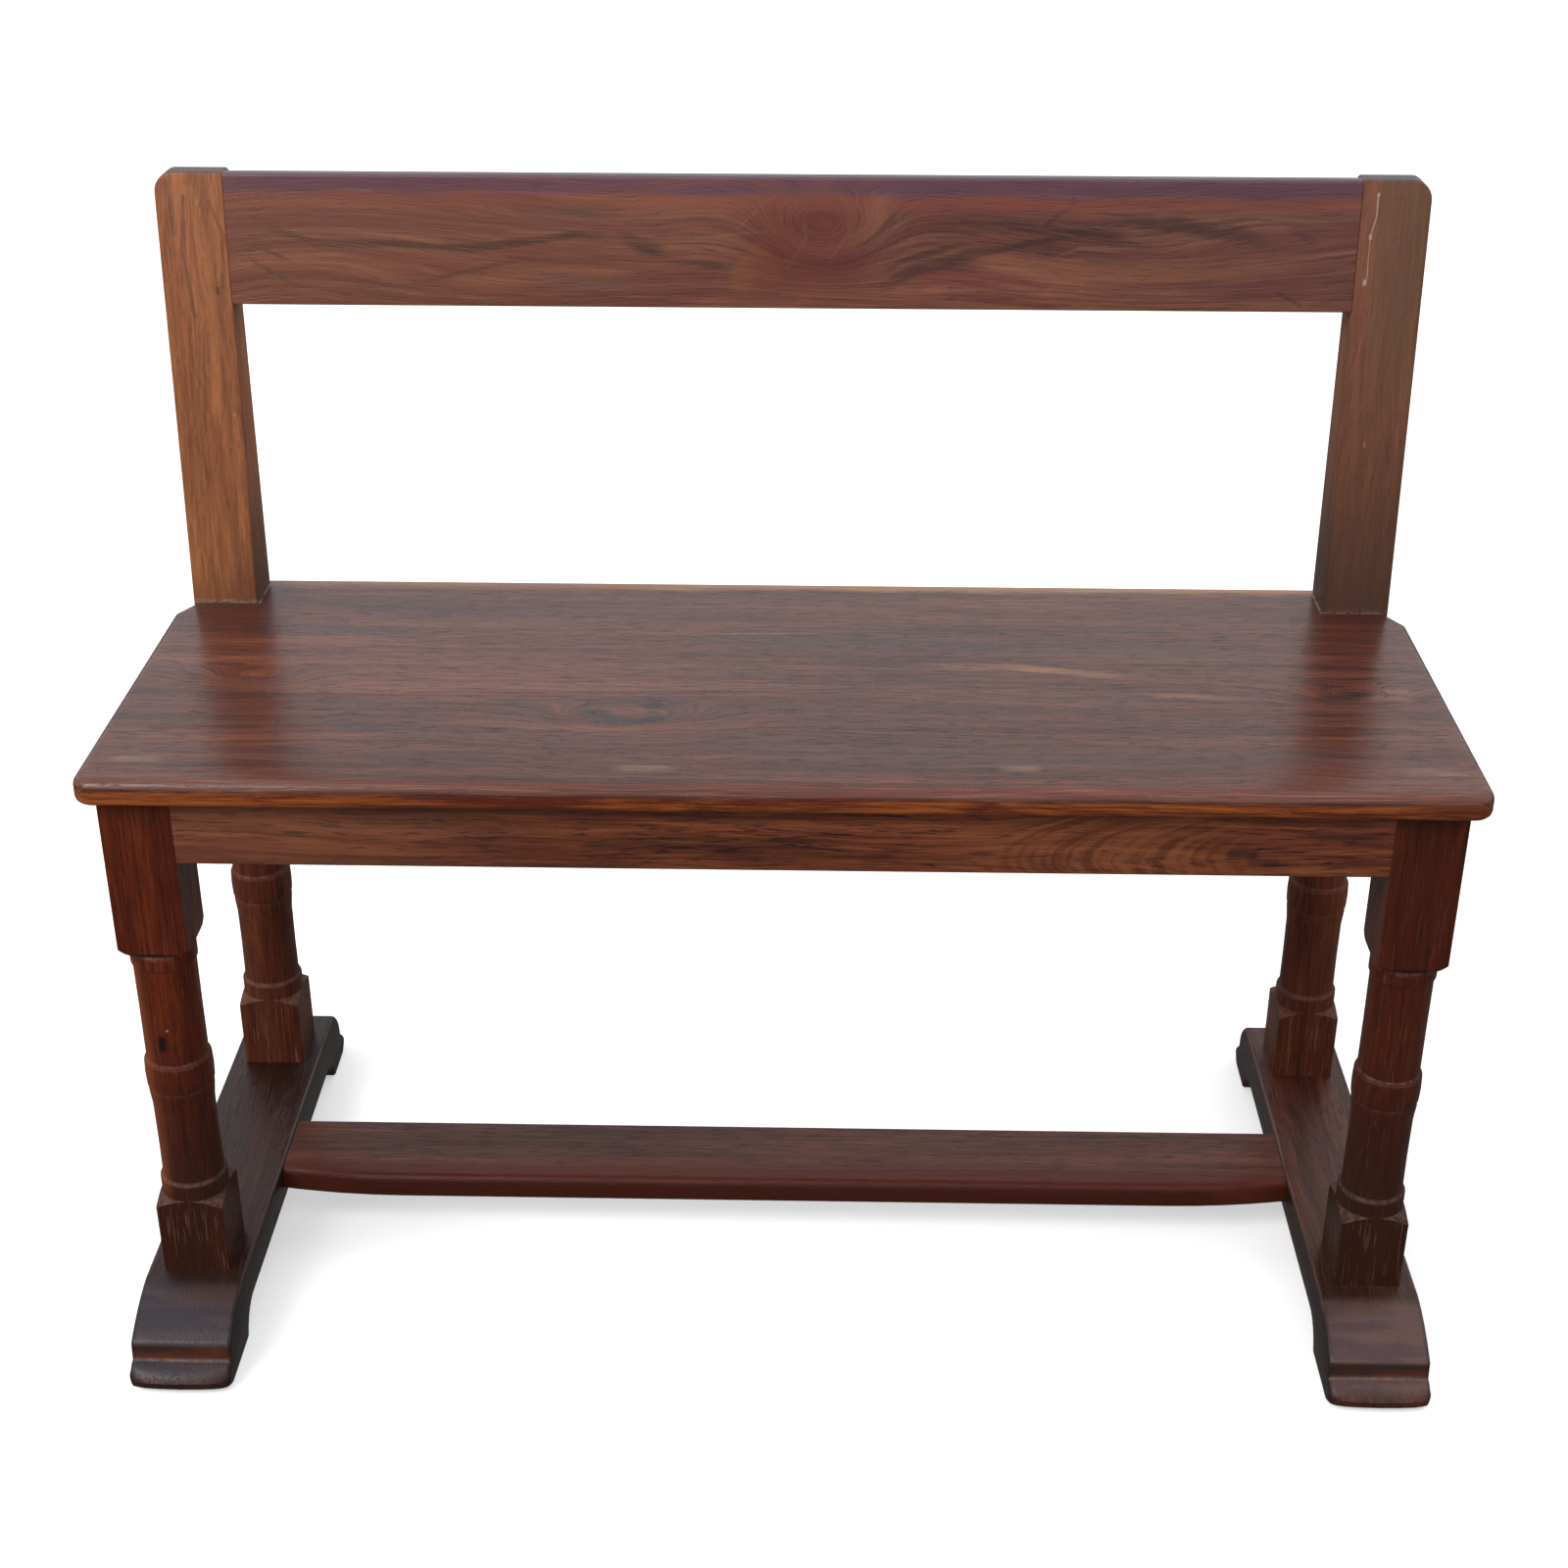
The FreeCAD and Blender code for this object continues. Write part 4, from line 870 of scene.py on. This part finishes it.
steelLook = {                                      # dull plated steel
    "grit": (900, 900, 900),                       # specks to the metre
    "bright": (0.50, 0.46, 0.40),
    "tarnish": (0.20, 0.14, 0.10),
    "tarnishRun": (0.42, 0.70),
}


def screwSteel():
    finish = newFinish("screw_steel")
    grit = finish.noise(finish.objectPlace(), steelLook["grit"], 3.0, 3.0, 0.6)
    colour = finish.blend(grit.fade(*steelLook["tarnishRun"]), steelLook["bright"], steelLook["tarnish"])
    return finish.surface(colour, grit * 0.35 + 0.25, grit * 0.1, metallic=1.0)


steel = screwSteel()


# Seat board

seat = {
    "corner": 14.0,                                # plan radius in front
    "earDepth": 19.0,
    "nosing": 7.0,
    "underBevel": 4.0,
    "fit": 0.1,
    "plugShare": 1.015,                            # hole against plug
}


def makeSeat():
    low, high = boxOf("seat_board")
    postLow, postHigh = boxOf("right_back_post")
    notch = postLow.y - seat["fit"]
    inner = postLow.x - seat["fit"]
    ear = postLow.y - seat["earDepth"]
    right = [(high.x, low.y, seat["corner"]), (high.x, ear), (postHigh.x, notch), (inner, notch),
             (inner, high.y)]
    left = [(-corner[0], *corner[1:]) for corner in reversed(right)]
    points = inMetres(rounded(right + left, 9), "xy", low.z)
    board = trace("seatBoard", points)
    fillAndExtrude(board, [Vector((0, 0, (high.z - low.z) * mm))])

    def onRim(level):
        def wanted(a, b):
            flat = abs(a.z - level * mm) < close and abs(b.z - level * mm) < close
            back = max(a.y, b.y) > (notch + seat["fit"]) * mm
            alongNotch = abs(a.y - b.y) < close and abs(a.y - notch * mm) < 10 * close
            return flat and not back and not alongNotch
        return wanted

    roundEdges(board, seat["nosing"], 8, onRim(high.z))
    roundEdges(board, seat["underBevel"], 3, onRim(low.z))
    bore(board, "seat_plugs", seat["plugShare"])
    return finishPiece(board, "seat_board", seatWood)


makeSeat()
print("seat board made")


# Back posts and crest rail

post = {
    "rake": 25.75,                                 # the front face leans back this far over its height
    "topDepth": 25.0,
    "corner": 14.0,
    "backRound": 9.0,
    "ease": 1.3,
    "over": 5.0,                                   # how far the corner's cutter stands out
}
rail = {
    "thickness": 17.0,
    "backRound": 8.0, "frontRound": 2.5,           # of the top edge
    "ease": 1.0,
    "gap": 0.15,                                   # to each post
}


def makePost(name, node, side):
    low, high = boxOf(node)
    seatLow, seatHigh = boxOf("seat_board")
    legBack = boxOf("rear_left_leg")[1].y
    topFront = rakeAt(high.z)
    sideView = [
        (low.y, seatLow.z), (legBack, seatLow.z), (legBack, low.z), (seatHigh.y, low.z),
        (seatHigh.y, seatHigh.z), (topFront + post["topDepth"], high.z, post["backRound"]),
        (topFront, high.z), (low.y, seatHigh.z),
    ]
    piece = trace(name, inMetres(rounded(sideView, 8), "yz", low.x))
    fillAndExtrude(piece, [Vector(((high.x - low.x) * mm, 0, 0))])
    cutWith(piece, cornerTool(high.x if side > 0 else low.x, side, high), "DIFFERENCE")
    easeArrises(piece, post["ease"])
    bore(piece, "crest_rail_pegs")
    bore(piece, "post_screws")
    return finishPiece(piece, node, leftPostWood if side < 0 else rightPostWood)


def cornerTool(outer, side, high):                 # what is cut off outside the top corner's arc
    radius, over = post["corner"], post["over"]
    depth = post["rake"] + post["topDepth"] + 4 * over
    inset = radius * (1 - math.sqrt(0.5))
    start, stop = (outer, high.z - radius), (outer - side * radius, high.z)
    corner = [Vector(start)]
    corner += arcThrough(start, (outer - side * inset, high.z - inset), stop, 12)
    corner += [Vector((stop[0], high.z + over)), Vector((outer + side * over, high.z + over)),
               Vector((outer + side * over, high.z - radius))]
    tool = trace("cornerTool", inMetres(corner, "xz", high.y + over))
    fillAndExtrude(tool, [Vector((0, -depth * mm, 0))])
    return tool


def rakeAt(level):                                 # y of the back's front face at a height, in mm
    postLow, postHigh = boxOf("right_back_post")
    seatTop = boxOf("seat_board")[1].z
    return postLow.y + post["rake"] * (level - seatTop) / (postHigh.z - seatTop)


def makeRail():
    low, high = boxOf("crest_rail")
    under, over = rakeAt(low.z), rakeAt(high.z)
    section = [
        (under, low.z, rail["ease"]), (under + rail["thickness"], low.z, rail["ease"]),
        (over + rail["thickness"], high.z, rail["backRound"]), (over, high.z, rail["frontRound"]),
    ]
    half = boxOf("right_back_post")[0].x - rail["gap"]
    board = trace("crestRail", inMetres(rounded(section, 8), "yz", -half))
    fillAndExtrude(board, [Vector((2 * half * mm, 0, 0))])
    return finishPiece(board, "crest_rail", railWood)


makePost("leftBackPost", "left_back_post", -1)
makePost("rightBackPost", "right_back_post", 1)
makeRail()
print("back made")


# Aprons

apron = {"ease": 1.2}


def makeApron(name, node, axis, material):         # a section drawn out from leg to leg
    low, high = boxOf(node)
    legLow, legHigh = boxOf("front_right_leg")
    rearLeg = boxOf("rear_right_leg")[0].y
    ease = apron["ease"]
    if axis == "x":
        section = [(low.y, low.z, ease), (high.y, low.z, ease), (high.y, high.z), (low.y, high.z)]
        points = inMetres(rounded(section), "yz", -legLow.x)
        run = Vector((2 * legLow.x * mm, 0, 0))
    else:
        section = [(low.x, low.z, ease), (high.x, low.z, ease), (high.x, high.z), (low.x, high.z)]
        points = inMetres(rounded(section), "xz", legHigh.y)
        run = Vector((0, (rearLeg - legHigh.y) * mm, 0))
    board = trace(name, points)
    fillAndExtrude(board, [run])
    return finishPiece(board, node, material)


makeApron("frontApron", "front_apron", "x", apronWood)
makeApron("rearApron", "rear_apron", "x", apronWood)
makeApron("leftSideApron", "left_side_apron", "y", sideApronWood)
makeApron("rightSideApron", "right_side_apron", "y", sideApronWood)
print("aprons made")


# Turned legs

leg = {
    "baseBlock": 57.0,
    "topBlock": 118.0,
    "basePommel": 3.5,
    "topPommel": 6.0,
    "underBlock": 1.8,                             # the block's flat underside over the shoulder line
    "blockRim": 0.88,                              # where that flat ends, as a share of the half diagonal
    "blockRound": 4.0,
    "tenon": 14.0,                                 # radius
    "ease": 0.9,
    "pommelEase": 0.3,
    "over": 6.0,                                   # how far the turned blank stands out past its corners
    "steps": 96,
    # radius as a share of the section, height as a share of the turned length, and a radius in mm
    "turning": [
        (0.499, 0.010, 0.8), (0.499, 0.066, 1.8), (0.455, 0.082, 0.6),
        (0.450, 0.220, 60.0), (0.455, 0.372, 30.0),
        (0.484, 0.440, 10.0), (0.466, 0.448, 0.4), (0.492, 0.454, 1.0), (0.500, 0.500, 40.0),
        (0.492, 0.548, 2.2), (0.452, 0.566, 0.8), (0.449, 0.750, 80.0), (0.453, 0.934, 0.5),
        (0.479, 0.942, 1.2), (0.479, 0.988, 0.8), (0.452, 0.995, 0.4),
    ],
}


def turnedLeg():
    low, high = boxOf("front_left_leg")
    foot = boxOf("left_foot")[1].z
    half = (high.x - low.x) / 2
    section = 2 * half
    corner = half * math.sqrt(2)
    beyond = corner + leg["over"]
    base = foot + leg["baseBlock"]
    shoulder = high.z - leg["topBlock"]
    path = [(0, low.z), (leg["tenon"], low.z), (leg["tenon"], foot), (beyond, foot),
            (beyond, base - leg["basePommel"]), (corner, base - leg["basePommel"], leg["pommelEase"])]
    for radius, height, ease in leg["turning"]:
        path.append((radius * section, base + height * (shoulder - base), ease))
    neck = leg["turning"][-1][0] * section
    path += [(neck, shoulder + leg["underBlock"]),
             (leg["blockRim"] * corner, shoulder + leg["underBlock"], leg["blockRound"]),
             (corner, shoulder + leg["topPommel"], leg["pommelEase"]),
             (beyond, shoulder + leg["topPommel"]), (beyond, high.z), (0, high.z)]
    points = inMetres(rounded(path, 4), "xz", 0)
    piece = trace("turnedLeg", points)
    bpy.ops.mesh.select_all(action="SELECT")
    bpy.ops.mesh.spin(steps=leg["steps"], angle=2 * math.pi, center=(0, 0, 0), axis=(0, 0, 1))
    bpy.ops.mesh.select_all(action="SELECT")
    bpy.ops.mesh.remove_doubles(threshold=1e-6)
    bpy.ops.mesh.normals_make_consistent(inside=False)
    settle(piece)
    corners = [(x * half, y * half, leg["ease"]) for x, y in ((-1, -1), (1, -1), (1, 1), (-1, 1))]
    stock = trace("legStock", inMetres(rounded(corners, 4), "xy", low.z - 1))
    fillAndExtrude(stock, [Vector((0, 0, (high.z - low.z + 2) * mm))])
    cutWith(piece, stock, "INTERSECT")
    return piece


def placeLeg(pattern, name, node, turn, material): # a copy with its own mesh, turned about its axis
    pick(pattern)
    bpy.ops.object.duplicate()
    piece = bpy.context.object
    piece.name = piece.data.name = name
    low, high = boxOf(node)
    bpy.ops.transform.rotate(value=math.radians(turn), orient_axis="Z", center_override=(0, 0, 0))
    bpy.ops.transform.translate(value=Vector(((low.x + high.x) / 2, (low.y + high.y) / 2, 0)) * mm)
    settle(piece)
    bore(piece, "apron_pegs")
    return finishPiece(piece, node, material, 28)


pattern = turnedLeg()
placeLeg(pattern, "frontLeftLeg", "front_left_leg", 0, frontLeftLegWood)
placeLeg(pattern, "frontRightLeg", "front_right_leg", 90, frontRightLegWood)
placeLeg(pattern, "rearLeftLeg", "rear_left_leg", 180, rearLegWood)
placeLeg(pattern, "rearRightLeg", "rear_right_leg", 270, rearLegWood)
bpy.data.objects.remove(pattern)
print("legs made")


# Feet

footShape = {
    "frontRamp": 50.0, "rearRamp": 16.0,           # length of the slope down to the toe's step
    "lip": 17.0,                                   # the toe beyond the step
    "tuck": 17.0,                                  # the toe beyond the pad
    "frontPad": 47.0, "rearPad": 32.0,
    # points of a toe, as shares of the run they lie on and of the height
    "rampMiddle": (0.38, 0.83), "stepTop": (0, 0.624), "stepFoot": (0.08, 0.378),
    "lipMiddle": (0.62, 0.328), "lipEnd": (0, 0.215), "tipFoot": (0, 0.11), "tuckMiddle": (0.28, 0.056),
    "archRise": 20.0, "archRun": 25.0,
    "archMiddle": (0.28, 0.66),
    "bow": 2.5,                                    # of the toe's front, seen from above
    "cornerX": 11.0, "cornerY": 5.5,
    "cornerTurn": 0.98,                            # 1 would turn the corner by a full quarter
    "keep": 1.5,                                   # of the lip by the step, which the bow leaves alone
    "bowedTo": 0.377,                              # share of the height under which the toe is bowed
    "ease": 2.8,
    "places": [-1, -0.93, -0.84, -0.69, -0.4, 0, 0.4, 0.69, 0.84, 0.93, 1],    # shares of the half width
}


def toeOutline(tip, height, ramp, way):            # from the ramp's start down to the sole, side view
    lip, tuck = footShape["lip"], footShape["tuck"]
    step = tip - way * lip

    def place(name, start, run):
        along, up = footShape[name]
        return Vector((start + way * along * run, up * height))

    points = [Vector((step - way * ramp, height))]
    points += arcThrough(points[-1], place("rampMiddle", step, -ramp), place("stepTop", step, lip), 12)
    points.append(place("stepFoot", step, lip))
    points += arcThrough(points[-1], place("lipMiddle", step, lip), place("lipEnd", tip, lip), 8)
    points.append(place("tipFoot", tip, lip))
    points += arcThrough(points[-1], place("tuckMiddle", tip, -tuck), (tip - way * tuck, 0), 6)
    return points


def stepsAcross(places, half):                     # the moves from one share of a half width to the next
    return [Vector(((after - before) * half * mm, 0, 0)) for before, after in zip(places, places[1:])]


def setBack(share, half):                          # how far the bow and the round corner draw the toe back
    corner = max(0.0, abs(share) * half - (half - footShape["cornerX"])) / footShape["cornerX"]
    roundOff = 1 - math.sqrt(1 - min(1, corner) ** 2 * footShape["cornerTurn"])
    return footShape["bow"] * share ** 2 + footShape["cornerY"] * roundOff


def makeFoot(name, node):
    low, high = boxOf(node)
    height = high.z
    front = toeOutline(low.y, height, footShape["frontRamp"], -1)
    rear = toeOutline(high.y, height, footShape["rearRamp"], 1)
    archFront = low.y + footShape["tuck"] + footShape["frontPad"]
    archRear = high.y - footShape["tuck"] - footShape["rearPad"]
    run, rise = footShape["archRun"], footShape["archRise"]
    along, up = footShape["archMiddle"][0] * run, footShape["archMiddle"][1] * rise
    outline = front + [Vector((archFront, 0))]
    outline += arcThrough(outline[-1], (archFront + along, up), (archFront + run, rise), 10)
    outline.append(Vector((archRear - run, rise)))
    outline += arcThrough(outline[-1], (archRear - along, up), (archRear, 0), 10)
    outline += list(reversed(rear))
    half = (high.x - low.x) / 2
    middle = (high.x + low.x) / 2
    piece = trace(name, inMetres(outline, "yz", low.x))
    fillAndExtrude(piece, stepsAcross(footShape["places"], half))
    free = footShape["lip"] - footShape["keep"]
    for share in footShape["places"]:
        x = (middle + share * half) * mm
        factor = 1 - setBack(share, half) / free
        for tip, way in ((low.y, -1), (high.y, 1)):
            hinge = tip - way * free
            selectPoints(piece, lambda point: abs(point.x - x) < close and way * (point.y - hinge * mm) > 0
                         and point.z < footShape["bowedTo"] * height * mm)
            bpy.ops.transform.resize(value=(1, factor, 1), center_override=(x, hinge * mm, 0))
            bpy.ops.object.mode_set(mode="OBJECT")
    easeArrises(piece, footShape["ease"], 3, 50)
    return finishPiece(piece, node, leftFootWood if middle < 0 else rightFootWood)


makeFoot("leftFoot", "left_foot")
makeFoot("rightFoot", "right_foot")
print("feet made")


# Stretcher

stretcher = {
    "round": 6.0,                                  # of the front's top edge
    "ease": 1.2,
    "sweep": 8.0,                                  # how far its front edge draws back at the ends
    "sweepFrom": 0.76,                             # share of the half length
    "places": [-1, -0.97, -0.93, -0.88, -0.82, -0.76, 0, 0.76, 0.82, 0.88, 0.93, 0.97, 1],
}


def makeStretcher():
    low, high = boxOf("stretcher")
    end = boxOf("right_foot")[0].x
    ease = stretcher["ease"]
    section = [(low.y, low.z, 2 * ease), (high.y, low.z, ease), (high.y, high.z, ease),
               (low.y, high.z, stretcher["round"])]
    board = trace("stretcherBoard", inMetres(rounded(section, 6), "yz", -end))
    fillAndExtrude(board, stepsAcross(stretcher["places"], end))
    for share in stretcher["places"]:
        swept = (abs(share) - stretcher["sweepFrom"]) / (1 - stretcher["sweepFrom"])
        back = stretcher["sweep"] * max(0.0, swept) ** 2
        if back:
            selectPoints(board, lambda point: abs(point.x - share * end * mm) < close and point.y < 0)
            bpy.ops.transform.translate(value=(0, back * mm, 0))
            bpy.ops.object.mode_set(mode="OBJECT")
    return finishPiece(board, "stretcher", stretcherWood)


makeStretcher()
print("stretcher made")


# Pegs, plugs and screws keep their own solids, pegs in the wood of the board round them

hardware = {
    "apron_pegs": frontRightLegWood, "crest_rail_pegs": rightPostWood, "seat_plugs": seatWood,
    "seat_screws": steel, "post_screws": steel,
}
for node, material in hardware.items():
    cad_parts[node].data.materials.clear()
    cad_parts[node].data.materials.append(material)


# Stage, light and camera

stage = {                                          # in metres and watts
    "floorSize": 60.0,
    "floorColour": (0.90, 0.90, 0.90),
    "floorGlow": 0.45,
    "backdropRadius": 29.0,
    # the sky's colours and their heights, 0 straight down and 1 straight up
    "sky": [(0.44, (0.15, 0.14, 0.135)), (0.53, (0.66, 0.67, 0.70)), (0.80, (1.02, 1.03, 1.06))],
    "keyPlace": (-2.4, -2.2, 3.0), "keyTarget": (0, 0, 0.4),
    "keySize": 2.0,
    "keyPower": 85,
    "keyColour": (1.0, 0.97, 0.93),
}

view = {                                           # fitted to the photograph's edges, in mm and degrees
    "place": (27.364, -1461.048, 1127.680),
    "pitch": 27.4237, "turn": 1.0839, "roll": 0.1306,
    "lens": 54.017,
    "sensor": 36.0,
    "reach": 200,                                  # metres
}


def makeFloor():
    deselectAll()
    bpy.ops.mesh.primitive_plane_add(size=stage["floorSize"], location=(0, 0, 0))
    floor = bpy.context.object
    floor.name = "floor"
    floor.data.materials.append(stagePaint("floor_paint", stage["floorColour"], stage["floorGlow"]))
    onlySeen(floor)


def makeBackdrop():                                # a white shell round the room, seen but casting nothing
    deselectAll()
    bpy.ops.mesh.primitive_uv_sphere_add(segments=48, ring_count=24, radius=stage["backdropRadius"])
    shell = bpy.context.object
    shell.name = "backdrop"
    shell.data.materials.append(stagePaint("backdrop_paint", (0, 0, 0), 1.0))
    shell.visible_shadow = False
    onlySeen(shell)


def stagePaint(name, colour, glow):
    paint = newFinish(name)
    speckle = paint.noise(paint.objectPlace(), (3.0, 3.0, 3.0), 1.0, 3.0, 0.5)
    tint = paint.blend(speckle, colour, tuple(0.985 * part for part in colour))
    return paint.surface(tint, 0.7 + speckle * 0.1, speckle * 0.1, 0.1, glow=glow)


def onlySeen(thing):                               # no bounce light from it reaches the bench
    thing.visible_glossy = False
    thing.visible_diffuse = False


def makeKeyLight():
    data = bpy.data.lights.new("key", "AREA")
    data.shape = "RECTANGLE"
    data.size = data.size_y = stage["keySize"]
    data.energy = stage["keyPower"]
    data.color = stage["keyColour"]
    lamp = bpy.data.objects.new("key", data)
    bpy.context.scene.collection.objects.link(lamp)
    lamp.location = stage["keyPlace"]
    beam = Vector(stage["keyTarget"]) - Vector(stage["keyPlace"])
    lamp.rotation_euler = beam.to_track_quat("-Z", "Y").to_euler()


def makeSky():
    bpy.context.scene.world = bpy.data.worlds.new("soft_sky")
    sky = Finish(bpy.context.scene.world)
    height = sky.parts(sky.make("TexCoord"))[2]
    lift = sky.make("MapRange", None, {"Value": height, "From Min": -1, "From Max": 1})
    colour = sky.make("ValToRGB", {"stops": stage["sky"]}, {0: lift})
    sky.make("OutputWorld", None, {"Surface": sky.make("Background", None, {"Color": colour})})


def makeCamera():
    data = bpy.data.cameras.new("camera")
    data.lens, data.sensor_width, data.sensor_height = view["lens"], view["sensor"], view["sensor"]
    data.clip_end = view["reach"]
    camera = bpy.data.objects.new("camera", data)
    bpy.context.scene.collection.objects.link(camera)
    turned = (Matrix.Rotation(math.radians(view["turn"]), 4, "Z")
              @ Matrix.Rotation(math.radians(90 - view["pitch"]), 4, "X")
              @ Matrix.Rotation(math.radians(view["roll"]), 4, "Z"))
    camera.location = Vector(view["place"]) * mm
    camera.rotation_euler = turned.to_euler()
    bpy.context.scene.camera = camera


makeFloor()
makeBackdrop()
makeSky()
makeKeyLight()
makeCamera()
bpy.context.scene.view_settings.view_transform = "Standard"
print("stage made")
